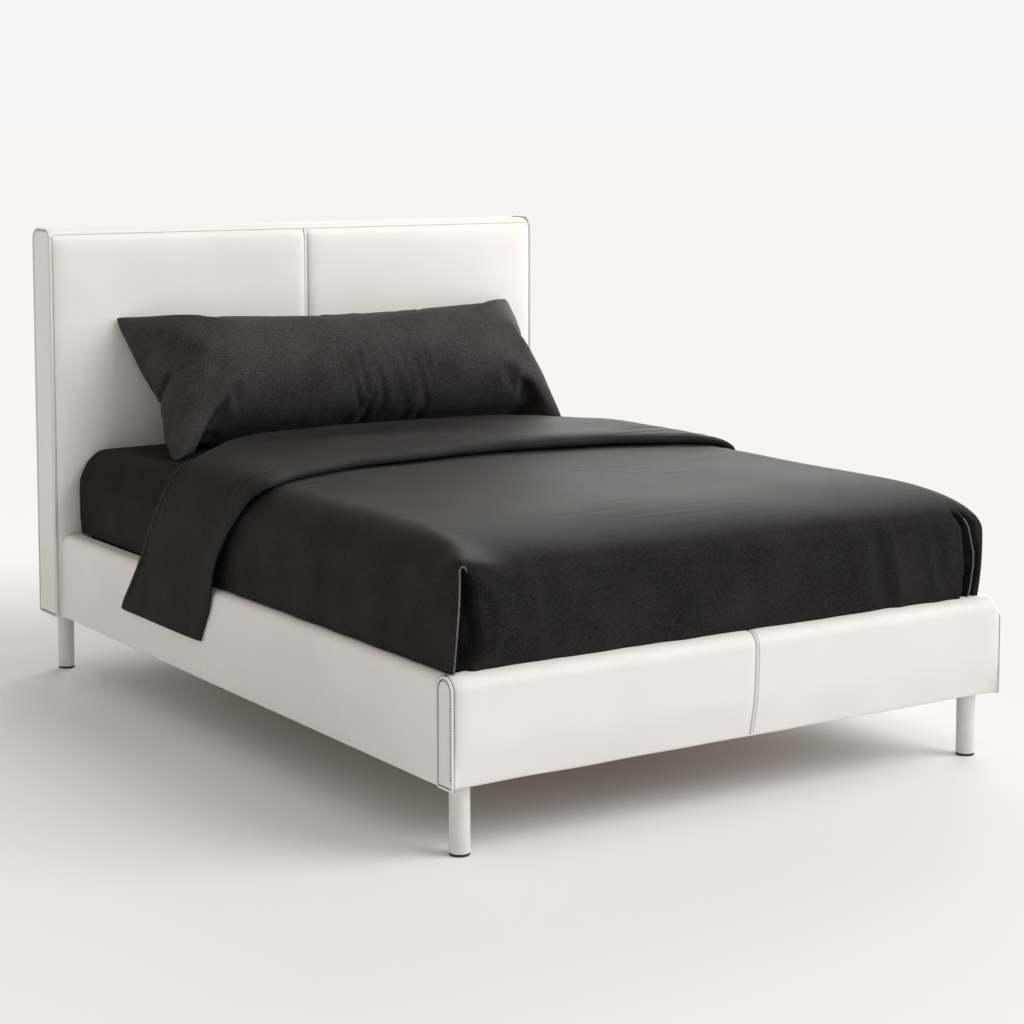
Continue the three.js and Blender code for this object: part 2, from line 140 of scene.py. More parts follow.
def circle(centre, radius, a, b, count):
    """A ring of points round a centre, in the plane of the directions a and b."""
    angles = np.radians(np.arange(count) * 360 / count)
    return np.array(centre) + radius * (np.outer(np.cos(angles), a) + np.outer(np.sin(angles), b))


def loft(rings, closed=False):
    """Points and faces of a tube through rings of equal length, capped or closed on itself."""
    count, around = len(rings), len(rings[0])
    faces = []
    for i in range(count if closed else count - 1):
        a, b = i * around, (i + 1) % count * around
        for j in range(around):
            k = (j + 1) % around
            faces.append((a + j, a + k, b + k, b + j))
    if not closed:
        faces.append(tuple(reversed(range(around))))
        faces.append(tuple((count - 1) * around + j for j in range(around)))
    return np.concatenate(rings), faces


def line(a, b, step=0.012, whole=False):
    """Points from a towards b, with b itself if whole, and normals to the right of travel."""
    a, b = np.array(a, float), np.array(b, float)
    length = np.linalg.norm(b - a)
    count = max(1, int(round(length / step)))
    along = (b - a) / max(length, 1e-9)
    points = a + np.outer(np.arange(count + whole) / count, b - a)
    return points, np.tile([along[1], -along[0]], (count + whole, 1))


def arc(centre, radius, start, stop, count=10):
    """Points on an arc in degrees, counter-clockwise, both ends included."""
    angles = np.radians(np.linspace(start, stop, count + 1))
    normals = np.stack([np.cos(angles), np.sin(angles)], 1)
    return np.array(centre) + radius * normals, normals


def joined(*parts):
    return np.concatenate([p for p, _ in parts]), np.concatenate([n for _, n in parts])


def arch(a0, a1, b0, b1, low, high, counts=(4, 12, 2), arcs=12):
    """A closed outline, counter-clockwise from its lower left, with its own radii below and above."""
    across, up, over = counts

    def side(a, b, count, normal):
        share = np.arange(count)[:, None] / count
        return np.array(a) + share * (np.array(b) - np.array(a)), np.tile(normal, (count, 1))

    e = FIT  # keeps the ends of the arcs and of the sides apart
    return joined(
        arc((a0 + low, b0 + low), low, 180, 270, 5),
        side((a0 + low + e, b0), (a1 - low - e, b0), across, (0.0, -1.0)),
        arc((a1 - low, b0 + low), low, 270, 360, 5),
        side((a1, b0 + low + e), (a1, b1 - high - e), up, (1.0, 0.0)),
        arc((a1 - high, b1 - high), high, 0, 90, arcs),
        side((a1 - high - e, b1), (a0 + high + e, b1), over, (0.0, 1.0)),
        arc((a0 + high, b1 - high), high, 90, 180, arcs),
        side((a0, b1 - high - e), (a0, b0 + low + e), up, (-1.0, 0.0)),
    )


def lengths(points):
    steps = np.linalg.norm(np.diff(points, axis=0), axis=1)
    return np.concatenate([[0.0], np.cumsum(steps)])


def sample(points, s, at):
    """The points of a line at these lengths along it, where s holds the length at each point."""
    return np.stack([np.interp(at, s, column) for column in np.array(points).T], -1)


def along_x(x, flat):
    """A 2-D outline in (y, z) put at this x."""
    return np.column_stack([np.full(len(flat), x), flat])


def spline_through(points, count):
    """Points about evenly spaced on a smooth line through the given ones."""
    points = np.array(points, float)
    padded = np.vstack([2 * points[0] - points[1], points, 2 * points[-1] - points[-2]])
    dense = []
    for i in range(1, len(padded) - 2):
        p0, p1, p2, p3 = padded[i - 1 : i + 3]
        for t in np.linspace(0, 1, 16, endpoint=False):
            bend = (2 * p0 - 5 * p1 + 4 * p2 - p3) * t**2 + (3 * p1 - p0 - 3 * p2 + p3) * t**3
            dense.append(0.5 * (2 * p1 + (p2 - p0) * t + bend))
    dense.append(points[-1])
    s = lengths(dense)
    return sample(dense, s, np.linspace(0, s[-1], count))


def cord(name, path, radius, material, body="root"):
    """A thin rounded line through these points, tapering at both ends."""
    taper = 0.008
    path = spline_through(path, max(12, int(lengths(path)[-1] / 0.004)))
    s = lengths(path)
    tangent = np.gradient(path, axis=0)
    side = np.cross(tangent, [0.2, 1.0, 0.1])
    side /= np.linalg.norm(side, axis=1)[:, None]
    other = np.cross(tangent / np.linalg.norm(tangent, axis=1)[:, None], side)
    size = radius * np.clip(np.minimum(s, s[-1] - s) / taper, 0.15, 1) ** 0.5
    rings = [circle(*ring, 8) for ring in zip(path, size, side, other)]
    return make(name, *loft(rings), material, body)


# ---------- materials ----------


class Nodes:
    """Short calls for building a node tree on one Principled shader."""

    def __init__(self, name):
        self.material = bpy.data.materials.new(name)
        self.material.use_nodes = True
        self.tree = self.material.node_tree
        self.shader = self.tree.nodes["Principled BSDF"]
        self.coordinates = self.tree.nodes.new("ShaderNodeTexCoord").outputs["Object"]

    def add(self, kind, inputs=(), **settings):
        node = self.tree.nodes.new(kind)
        for key, value in settings.items():
            setattr(node, key, value)
        for key, value in dict(inputs).items():
            if isinstance(value, bpy.types.NodeSocket):
                self.tree.links.new(value, node.inputs[key])
            else:
                node.inputs[key].default_value = value
        return node

    def set(self, **values):
        for key, value in values.items():
            self.shader.inputs[key.replace("_", " ")].default_value = value

    def link(self, output, socket):
        self.tree.links.new(output, self.shader.inputs[socket])

    def stretched(self, scale, turn=(0, 0, 0)):
        inputs = {"Vector": self.coordinates, "Scale": scale, "Rotation": turn}
        return self.add("ShaderNodeMapping", inputs).outputs["Vector"]

    def noise(self, scale, detail=3.0, roughness=0.5, vector=None):
        inputs = {"Scale": scale, "Detail": detail, "Roughness": roughness}
        return self.add("ShaderNodeTexNoise", {"Vector": vector or self.coordinates, **inputs}).outputs["Fac"]

    def ramp(self, value, low, high, at=(0.3, 0.7)):
        """From low to high, each a colour or one number, as the value rises."""
        node = self.add("ShaderNodeValToRGB", {"Fac": value})
        for element, place, colour in zip(node.color_ramp.elements, at, (low, high)):
            element.position = place
            element.color = (*colour, 1) if isinstance(colour, tuple) else (colour, colour, colour, 1)
        return node.outputs["Color"]

    def math(self, operation, a, b=0.0):
        return self.add("ShaderNodeMath", {0: a, 1: b}, operation=operation).outputs[0]

    def bump(self, height, strength, distance, normal=None):
        inputs = {"Height": height, "Strength": strength, "Distance": distance}
        if normal:
            inputs["Normal"] = normal
        return self.add("ShaderNodeBump", inputs).outputs["Normal"]


def grey(value, warm=1.0):
    return (value, value * (1 - 0.02 * warm), value * (1 - 0.055 * warm))


def leather_material():
    n = Nodes("leather")
    n.link(n.ramp(n.noise(3.5, 2.0), grey(0.76), grey(0.81)), "Base Color")
    n.link(n.ramp(n.noise(60.0, 4.0), 0.44, 0.56), "Roughness")
    cells = n.add("ShaderNodeTexVoronoi", {"Vector": n.coordinates, "Scale": 520.0}, feature="SMOOTH_F1")
    pebble = n.math("ADD", cells.outputs["Distance"], n.noise(900.0, 2.0))
    soft = n.bump(n.noise(14.0, 2.0), 0.12, 0.004)
    n.link(n.bump(pebble, 0.22, 0.0004, soft), "Normal")
    n.set(Specular_IOR_Level=0.35)
    return n.material


def cotton_material(name, seed, tone=1.0):
    """Dark woven cotton: slubby threads, a fine bump of the weave and the sheen of its short fibres. Tone
    scales its colour; the pillow's and the hems' lighter tones are painted light.
    """
    n = Nodes(name)
    slub = n.noise(330.0, 3.0, 0.6, n.stretched((0.34, 1.0, 1.5)))
    cross = n.noise(380.0, 3.0, 0.6, n.stretched((1.5, 1.0, 0.34)))
    broad = n.noise(7.0 + seed, 3.0)
    threads = n.math("ADD", n.math("MULTIPLY", slub, 0.5), n.math("MULTIPLY", cross, 0.5))
    mixed = n.math("ADD", n.math("MULTIPLY", threads, 0.8), n.math("MULTIPLY", broad, 0.2))
    dark = (0.0052 * tone, 0.0050 * tone, 0.0049 * tone)
    light = (0.0310 * tone, 0.0300 * tone, 0.0303 * tone)
    n.link(n.ramp(mixed, dark, light, (0.37, 0.64)), "Base Color")
    n.link(n.ramp(threads, 0.50, 0.66), "Roughness")
    n.set(Specular_IOR_Level=0.045, Sheen_Weight=COTTON_SHEEN, Sheen_Roughness=0.25)
    n.set(Sheen_Tint=(0.86, 0.84, 0.84, 1))
    crumple = n.bump(n.noise(30.0, 3.0, 0.55, n.stretched((0.5, 1.5, 0.8))), 0.16, 0.003)
    n.link(n.bump(threads, 0.75, 0.0011, crumple), "Normal")
    return n.material


def wood_material(name, dark, light, grain):
    n = Nodes(name)
    rings = n.add(
        "ShaderNodeTexWave",
        {"Vector": n.stretched(grain), "Scale": 0.42, "Distortion": 2.6, "Detail": 3.0, "Detail Scale": 0.8},
        bands_direction="DIAGONAL",
    )
    fibre = n.noise(40.0, 5.0, 0.6, n.stretched(grain))
    value = n.math("ADD", n.math("MULTIPLY", rings.outputs["Fac"], 0.6), n.math("MULTIPLY", fibre, 0.4))
    n.link(n.ramp(value, dark, light, (0.2, 0.8)), "Base Color")
    n.link(n.ramp(fibre, 0.5, 0.68), "Roughness")
    n.link(n.bump(fibre, 0.25, 0.0006), "Normal")
    return n.material


def plain_material(name, low, high, scale, rough, bump, metallic=0.0, specular=0.4):
    """Paint, plastic, steel, foam or cloth: a mottled colour, uneven roughness and a fine bump."""
    n = Nodes(name)
    n.link(n.ramp(n.noise(scale / 8, 3.0), low, high), "Base Color")
    n.link(n.ramp(n.noise(scale / 3, 4.0), *rough), "Roughness")
    n.link(n.bump(n.noise(scale, 4.0), bump[0], bump[1]), "Normal")
    n.set(Metallic=metallic, Specular_IOR_Level=specular)
    return n.material


def woven_material(name, low, high, pitch):
    n = Nodes(name)
    inputs = {"Vector": n.coordinates, "Scale": pitch}
    warp, weft = (n.add("ShaderNodeTexWave", inputs, bands_direction=way).outputs["Fac"] for way in "XZ")
    cloth = n.math("MULTIPLY", warp, weft)
    n.link(n.ramp(n.math("ADD", cloth, n.noise(180.0, 4.0)), low, high, (0.4, 1.1)), "Base Color")
    n.link(n.bump(cloth, 0.4, 0.0005), "Normal")
    n.set(Roughness=0.9, Specular_IOR_Level=0.2, Sheen_Weight=0.15)
    return n.material


LEATHER_MAT = leather_material()
DUVET_MAT = cotton_material("bedding_cotton", 0.0)
SHEET_MAT = cotton_material("sheet_cotton", 3.0, 0.6)
# the pillow's cotton is the bedding cotton at 2.5 times its tone: painted light, for the stronger light that
# falls on the pillow
PILLOW_PAINTED_LIGHT_MAT = cotton_material("pillow_cotton_painted_light", 1.0, 2.5)
# the hems' cotton is the bedding cotton at 8 times its tone: a painted highlight where the hem edges catch the
# light
HEM_HIGHLIGHT_MAT = cotton_material("hem_cotton_painted_highlight", 2.0, 8.0)
# dark thread for the stitches; the same material draws the dark lines in the seams, which are painted shade of
# their grooves
THREAD_AND_SEAM_SHADE_MAT = plain_material("thread", grey(0.17, 2), grey(0.25, 2), 900.0, (0.6, 0.8), (0.3, 0.0003))
TIMBER = ((0.42, 0.26, 0.13), (0.66, 0.47, 0.27))
PINE_MAT = wood_material("timber", *TIMBER, (14.0, 1.0, 14.0))
BOARD_MAT = wood_material("timber_across", *TIMBER, (1.0, 14.0, 14.0))
BEECH_MAT = wood_material("beech", (0.58, 0.40, 0.23), (0.76, 0.58, 0.37), (1.2, 12.0, 12.0))
STEEL_MAT = plain_material("steel", grey(0.40, 0), grey(0.52, 0), 160.0, (0.32, 0.45), (0.1, 0.0003), 1.0)
PAINT_MAT = plain_material("painted_steel", grey(0.67), grey(0.73), 300.0, (0.30, 0.38), (0.12, 0.0003))
NYLON_MAT = plain_material("nylon", 0.010, 0.018, 500.0, (0.5, 0.65), (0.2, 0.0002))
LINING_MAT = woven_material("lining", grey(0.56), grey(0.66), 260.0)
TICKING_MAT = woven_material("ticking", grey(0.66), grey(0.78), 160.0)
CAD_MATERIALS = {  # by the start of a node's name, the longer of two starts first
    "slat_ledge": PINE_MAT,
    "slat_": BEECH_MAT,
    "centre_beam": PINE_MAT,
    "side_rail": PINE_MAT,
    "footboard_board": BOARD_MAT,
    "headboard_frame": BOARD_MAT,
    "beam_stirrup": STEEL_MAT,
    "corner_bracket": STEEL_MAT,
    "support_leg": STEEL_MAT,
    "support_foot": NYLON_MAT,
}


def finish_cad_nodes():
    """Materials of the CAD nodes that stay as they are."""
    for name, node in NODES.items():
        material = next((m for start, m in CAD_MATERIALS.items() if name.startswith(start)), None)
        if material:
            node.data.materials.clear()
            node.data.materials.append(material)


# ---------- leather work ----------


def welt(name, outline, x, inset, radius=WELT_RADIUS, material=LEATHER_MAT):
    """A sewn welt round a closed outline in the (y, z) plane, or, in the dark thread material, a line of
    painted seam shade there.
    """
    points, normals = outline
    centres, outs = along_x(x, points - inset * normals), along_x(0.0, normals)
    rings = [circle(centre, radius, out, (1, 0, 0), 10) for centre, out in zip(centres, outs)]
    return make(name, *loft(rings, closed=True), material)


def stitches(name, points, normals):
    """A row of small thread capsules along a line on a surface."""
    profile = [(-0.5, 0.35), (-0.34, 1.0), (0.34, 1.0), (0.5, 0.35)]  # share of the length, of the radius
    s = lengths(points)
    vertices, faces = [], []
    for centre in np.arange(STITCH_PITCH, s[-1] - STITCH_PITCH * 0.5, STITCH_PITCH):
        near, up = sample(points, s, centre), sample(normals, s, centre)
        along = sample(points, s, centre + 0.001) - near
        along /= np.linalg.norm(along)
        across = np.cross(along, up)
        across /= np.linalg.norm(across)
        rings = []
        for place, width in profile:
            middle = near + along * place * STITCH_LENGTH + up * STITCH_RADIUS * (0.7 * width - 0.1)
            rings.append(circle(middle, STITCH_RADIUS * width, across, up, 6))
        capsule, sides = loft(rings)
        faces += [[v + len(vertices) for v in face] for face in sides]
        vertices += list(capsule)
    return make(name, vertices, faces, THREAD_AND_SEAM_SHADE_MAT)


def painted_seam_shade(name, path):
    """A dark line laid in an open seam: painted shade of the seam's groove, drawn as a thin cord."""
    return cord(name, path, SEAM_LINE, THREAD_AND_SEAM_SHADE_MAT)


def cap_seam_shades(name, outline, side, inside, outside, inset):
    """The two dark lines beside a cap's welt, one towards the cap's middle, one towards the panel: painted
    shade of the groove and the recess there.
    """
    welt(f"{name}_line_cap", outline, side * outside, 0.0038, 0.00055, THREAD_AND_SEAM_SHADE_MAT)
    welt(f"{name}_line_panel", outline, side * inside, inset, SEAM_LINE, THREAD_AND_SEAM_SHADE_MAT)


def rolled_end(distance, radius):
    """How far a top edge has fallen at this distance from its rolled end."""
    if distance >= radius:
        return 0.0
    return radius - math.sqrt(max(radius**2 - (radius - max(distance, 0.0)) ** 2, 0.0))


def end_cap(name, box, x_in, x_out, high, swell, roll=0.0):
    """A thinly padded panel that closes the end of a board. Its top edge can roll down outwards."""
    a0, a1, b0, b1 = box
    widest = min(high, (a1 - a0) / 2) - 0.0015
    steps = [(0.0080, 0.0), (0.0046, 0.0), (0.0044, 0.25), (0.0052, 0.60)]  # inset, share of the depth
    steps += [(0.0052 + (widest - 0.0052) * t, None) for t in (0.06, 0.14, 0.25, 0.4, 0.6, 0.8, 1.0)]
    rings = []
    for inset, share in steps:
        if share is None:
            crown = 0.45 + 0.55 * (1 - (1 - inset / widest) ** 3)
            x = x_out - (x_out - x_in) * 0.28 * (1 - crown) + math.copysign(swell * crown, x_out)
        else:
            x = x_in + (x_out - x_in) * share
        top = b1 - inset - rolled_end(abs(x_out) - abs(x) + 0.0012, roll)
        small = max(BOARD_EDGE - inset, 0.0015)
        flat, _ = arch(a0 + inset, a1 - inset, b0 + inset, top, small, high - inset, (4, 16, 2))
        rings.append(along_x(x, flat))
    stands_for = [name.replace("_cap_", "_end_cap_")]
    return make(name, *loft(rings), LEATHER_MAT, replaces=stands_for)


def groove(distance, depth=0.0024, width=0.0016):
    return -depth * bell(distance, width)


def seam_offset(distance):
    """Height of the leather near a seam: a groove, then the turned edge that is stitched down."""
    fold = 0.0010 * smooth(0.0006, 0.0020, distance) * (1 - smooth(0.0085, 0.0115, distance))
    return groove(distance) + fold - 0.0006 * bell(distance - 0.0075, 0.0012)


def settle(distance, reach):
    """The share of its full height that padding has at this distance from a seam."""
    return 1 - np.exp(-np.abs(distance) / reach)


def board_shape(board):
    """A board's low and high y and z, its half length and the half length between its end caps."""
    low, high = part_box(f"{board}_end_cap_left")
    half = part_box(f"{board}_end_cap_right")[1].x
    return low.y, high.y, low.z, high.z, half, half - (high.x - low.x) - FIT


def shell_panel(name, path, xs, offset, replaces, thick=LEATHER, material=LEATHER_MAT):
    """A panel of leather or cloth through a path in (y, z), swept along x, with its own thickness."""
    points, normals = path
    s = lengths(points)
    inner = (points - normals * thick)[::-1]
    rings = [along_x(x, np.concatenate([points + normals * offset(x, s)[:, None], inner])) for x in xs]
    return make(name, *loft(rings), material, replaces=replaces)


def front_offset(sign, inner_x):
    """The height of the leather of one front panel of the headboard, by x and length down its path."""

    def offset(x, s):
        to_cap = inner_x - abs(x)
        to_band = abs(x) - SEAM_BAND
        swell = settle(to_cap, 0.018) * (1 - 0.72 * np.exp(-to_band / 0.011)) * settle(s, 0.015)
        creases = 0.0005 * waves(x, s, 5, 8, (1, 4), (1, 4))
        stitched = -0.0008 * bell(to_band - 0.0026, 0.0012) if sign > 0 else 0.0
        edge = 0.0016 * (1 - smooth(0.0025, 0.0055, s)) - 0.0010 * bell(s - 0.008, 0.003)
        return -0.0010 + (HEAD_SWELL + creases) * swell + stitched + edge

    return offset


def build_head_front():
    y0, _, z0, z1, _, inner_x = board_shape("headboard")
    front = joined(
        arc((y0 + HEAD_ROLL, z1 - HEAD_ROLL), HEAD_ROLL, HEAD_SEAM_ANGLE, 180, 16),
        line((y0, z1 - HEAD_ROLL - 0.002), (y0, z0 + BOARD_EDGE + 0.001), 0.014),
        arc((y0 + BOARD_EDGE, z0 + BOARD_EDGE), BOARD_EDGE, 180, 270, 6),
        line((y0 + BOARD_EDGE + 0.001, z0), (y0 + HEAD_ROLL, z0), 0.008, whole=True),
    )
    for side, sign in SIDES:
        start, end = sorted((sign * SEAM_BAND, sign * inner_x))
        xs = stations(start, end, 0.022, 0.06, 0.004)
        stands_for = [f"headboard_cover_{side}", f"headboard_foam_{side}"]
        panel = shell_panel(f"headboard_panel_{side}", front, xs, front_offset(sign, inner_x), stands_for)

    def band_offset(x, s):
        return np.full(s.shape, 0.0030 + 0.0012 * (1 - (x / SEAM_BAND) ** 2))

    xs = np.linspace(-SEAM_BAND + FIT, SEAM_BAND - FIT, 9)
    shell_panel("headboard_seam_band", front, xs, band_offset, ["headboard_seam_welt"])
    points, normals = front
    shown = slice(0, len(points) - 10)
    to_row = 0.0034
    for place, sign, x in (
        ("left", -1, inner_x - to_row),
        ("middle", 1, SEAM_BAND + 0.0026),
        ("right", 1, inner_x - to_row),
    ):
        height = front_offset(sign, inner_x)(x, lengths(points))
        row = along_x(sign * x, points + normals * height[:, None])
        stitches(f"headboard_stitches_{place}", row[shown], along_x(0.0, normals)[shown])
    # dark lines at the two edges of the middle band: painted shade of the seam grooves there
    for side, sign in SIDES:
        path = along_x(sign * (SEAM_BAND + 0.0002), points - 0.0004 * normals)
        painted_seam_shade(f"headboard_line_{side}", path[shown])


def build_head_top():
    y0, y1, _, z1, _, inner_x = board_shape("headboard")
    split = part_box("headboard_top_strip")[0].z
    top = joined(
        line((y1, split), (y1, z1 - HEAD_ROLL - 0.002), 0.006),
        arc((y1 - HEAD_ROLL, z1 - HEAD_ROLL), HEAD_ROLL, 0, 90, 14),
        line((y1 - HEAD_ROLL - 0.002, z1), (y0 + HEAD_ROLL + 0.002, z1), 0.006),
        arc((y0 + HEAD_ROLL, z1 - HEAD_ROLL), HEAD_ROLL, 90, HEAD_SEAM_ANGLE - 0.5, 24),
    )

    def offset(x, s):
        to_seam = s[-1] - s
        over = settle(to_seam, 0.008) * settle(s, 0.008)
        swell = 0.0024 * settle(inner_x - abs(x), 0.012) * over
        return -0.0022 + swell - 0.0006 * bell(to_seam - 0.004, 0.001)

    xs = stations(-inner_x, inner_x, 0.03, 0.05, 0.004)
    strip = shell_panel("headboard_top_panel", top, xs, offset, ["headboard_top_strip"])
    points, normals = top
    s = lengths(points)
    at = int(np.argmin(np.abs(s[-1] - s - 0.0030)))
    row = [[x, *(points[at] + normals[at] * offset(x, s)[at])] for x in xs[2:-2]]
    stitches("headboard_stitches_top", np.array(row), np.tile([0.0, *normals[at]], (len(row), 1)))


def build_head_back():
    y0, y1, z0, _, _, inner_x = board_shape("headboard")
    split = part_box("headboard_top_strip")[0].z
    back = joined(
        line((y0 + HEAD_ROLL + 0.0005, z0), (y1 - BOARD_EDGE - 0.001, z0), 0.01),
        arc((y1 - BOARD_EDGE, z0 + BOARD_EDGE), BOARD_EDGE, 270, 360, 5),
        line((y1, z0 + BOARD_EDGE + 0.001), (y1, split - 0.001), 0.02, whole=True),
    )

    def offset(x, s):
        drawn = 0.0006 * settle(inner_x - abs(x), 0.01)
        return -0.0008 + drawn + 0.0003 * waves(x, s, 11, 10, (1, 5), (1, 6))

    xs = stations(-inner_x, inner_x, 0.03, 0.02, 0.004)
    shell_panel("headboard_lining", back, xs, offset, ["headboard_back_panel"], 0.0025, LINING_MAT)


def build_head_ends():
    *box, x1, inner_x = board_shape("headboard")
    outline = arch(*box, BOARD_EDGE, HEAD_ROLL, (6, 50, 3))
    for side, sign in SIDES:
        ends = (sign * (inner_x + 0.0002), sign * (x1 - 0.0016))
        end_cap(f"headboard_cap_{side}", box, *ends, HEAD_ROLL, 0.0010)
        welt(f"headboard_welt_{side}", outline, sign * (x1 - 0.0032), -0.0004)
        # dark lines beside the welt: painted shade of the seam grooves
        cap_seam_shades(f"headboard_{side}", outline, sign, x1 - 0.0074, x1 - 0.0022, 0.0016)


def keep_front(points, normals):
    """Which points of a closed outline are on its front and top, in order from the bottom up or down."""
    start = int(np.argmax(points[:, 1] * 10 + points[:, 0] * 0.1))
    order = [(start + i) % len(points) for i in range(len(points))]
    return [i for i in order if normals[i][0] < -0.05 and points[i][1] > points[:, 1].min() + 0.003]


def foot_ring(x, shrink=0.0):
    """The footboard cover's outline at this x, drawn in by shrink. Returns points and normals."""
    y0, y1, z0, z1, x1, inner_x = board_shape("footboard")
    drop = rolled_end(x1 - x, FOOT_END_ROLL)
    points, normals = arch(y0, y1, z0, z1 - drop, BOARD_EDGE, foot_radius(), FOOT_COUNTS, 16)
    front = smooth(0.0, 0.6, -normals[:, 0]) + smooth(0.5, 1.0, normals[:, 1])
    front = np.clip(front, 0, 1)
    to_cap = (x1 - FOOT_RIGHT_CAP if x > 0 else inner_x) - abs(x)
    full = settle(to_cap, 0.013)
    swell = full * (1 - 0.3 * np.exp(-abs(x - FOOT_SEAM_X) / 0.008))
    drawn = (-0.0062 if x < 0 else -0.0022) * np.exp(-to_cap / 0.014) * front
    upward = np.clip((points[:, 1] - z0) / (z1 - z0), 0, 1)
    belly = front * 0.0080 * smooth(0.0, 0.45, upward)
    forward = np.clip(2 * (y1 - points[:, 0]) / (y1 - y0) - 1, 0, 1)
    creases = 0.0006 * waves(x, points[:, 1], 21, 8, (1, 4), (1, 4))
    height = (belly + creases) * swell + drawn + seam_offset(x - FOOT_SEAM_X) * (0.3 + 0.7 * front)
    moved = points + normals * (height - shrink)[:, None]
    moved[:, 0] += 0.015 * (1 - upward) ** 2.6 * forward * full
    return moved, normals


def foot_radius():
    """Radius of the footboard's top edges: nearly half its thickness."""
    y0, y1 = board_shape("footboard")[:2]
    return (y1 - y0) / 2 - 0.001


def build_footboard():
    *box, x1, inner_x = board_shape("footboard")
    y0, y1, z0, z1 = box
    high = foot_radius()
    right_x = x1 - FOOT_RIGHT_CAP
    xs = stations(-inner_x, right_x, 0.02, 0.05, 0.003, (-inner_x, FOOT_SEAM_X, right_x))
    turned_in = 0.008
    rings = [along_x(-inner_x, foot_ring(-inner_x, turned_in)[0])]
    rings += [along_x(x, foot_ring(x)[0]) for x in xs]
    rings.append(along_x(right_x, foot_ring(right_x, turned_in)[0]))
    stands_for = ["footboard_cover", "footboard_foam"]
    cover = make("footboard_padding", *loft(rings), LEATHER_MAT, replaces=stands_for)
    row_x = FOOT_SEAM_X + 0.0075
    flat, normals = foot_ring(row_x)
    shown = keep_front(flat, normals)
    stitches("footboard_stitches_middle", along_x(row_x, flat)[shown], along_x(0.0, normals)[shown])

    end_cap("footboard_cap_left", box, -inner_x - 0.0002, -x1 + 0.0022, high, 0.0008)
    outline = arch(*box, BOARD_EDGE, high, FOOT_COUNTS, 16)
    welt("footboard_welt_left", outline, -x1 + 0.0030, 0.0006)
    # dark lines beside the welt: painted shade of the seam grooves
    cap_seam_shades("footboard_left", outline, -1, x1 - 0.0084, x1 - 0.0022, 0.0008)
    inset = 0.0068
    row, _ = arch(y0 + inset, y1 - inset, z0 + inset, z1 - inset, 0.0015, high - inset, FOOT_COUNTS)
    start = int(np.argmin(row[:, 1]))
    order = [(start + i) % len(row) for i in range(len(row))]
    shown = [i for i in order if row[i][1] > z0 + 0.012]
    outward = np.tile([-1.0, 0.0, 0.0], (len(shown), 1))
    stitches("footboard_stitches_left", along_x(-x1 + 0.0018, row)[shown], outward)

    end_cap("footboard_cap_right", box, right_x + 0.0002, x1 - 0.0012, high, 0.0004, FOOT_END_ROLL)
    top = z1 - rolled_end(0.0020, FOOT_END_ROLL)
    outline = arch(y0, y1, z0, top, BOARD_EDGE, high, FOOT_COUNTS, 16)
    welt("footboard_welt_right", outline, x1 - 0.0020, 0.0010, 0.0016)
    # a dark line round the right end beside its welt: painted shade along the rolled end's edge
    welt("footboard_right_line", outline, x1 - 0.0040, 0.0009, 0.0006, THREAD_AND_SEAM_SHADE_MAT)
    # a dark line down the middle seam: painted shade of its groove
    flat, normals = foot_ring(FOOT_SEAM_X)
    painted_seam_shade("footboard_line_middle", along_x(FOOT_SEAM_X, flat)[keep_front(flat, normals)])


def build_rails():
    edge = 0.005
    for side, sign in SIDES:
        low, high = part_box(f"rail_cover_{side}")
        inner, outer = (low.x, high.x) if sign > 0 else (-high.x, -low.x)
        y0, y1, z0, z1 = low.y + RAIL_GAP, high.y - RAIL_GAP, low.z, high.z
        rings = []
        for y in stations(y0, y1, 0.03, 0.045, 0.003, (y0, RAIL_SEAM_Y, y1)):
            top = z1 - rolled_end(y1 - y, RAIL_END_ROLL)
            near = min(y1 - y, y - y0)
            inset = rolled_end(near, edge)
            radius = min(0.019, (outer - inner) / 2 - inset - 0.001)
            box = (inner + inset, outer - inset, z0 + inset, top - inset)
            flat, normals = arch(*box, 0.006, radius, (4, 16, 2), 8)
            out = smooth(0.2, 0.9, normals[:, 0]) * smooth(0.0, 0.05, near)
            seam = groove(y - RAIL_SEAM_Y, 0.0026, 0.0017) + 0.0009 * bell(y - RAIL_SEAM_Y + 0.0045, 0.003)
            upward = np.clip((flat[:, 1] - z0) / (z1 - z0), 0, 1)
            swell = 0.0012 * out * (0.4 + 0.6 * np.sin(np.pi * upward))
            flat = flat + normals * (seam + swell)[:, None]
            rings.append(np.column_stack([sign * flat[:, 0], np.full(len(flat), y), flat[:, 1]]))
        stands_for = [f"rail_cover_{side}", f"rail_foam_{side}"]
        rail = make(f"rail_padding_{side}", *loft(rings), LEATHER_MAT, replaces=stands_for)


# ---------- legs ----------


def turned(name, profile, radius, centre, material, replaces):
    """A round solid about +Z, capped at both ends. Its profile is in (step off the radius, height)."""
    rings = [circle((centre.x, centre.y, z), radius + step, (1, 0, 0), (0, 1, 0), 48) for step, z in profile]
    return make(name, *loft(rings), material, replaces=replaces, sharp=35)


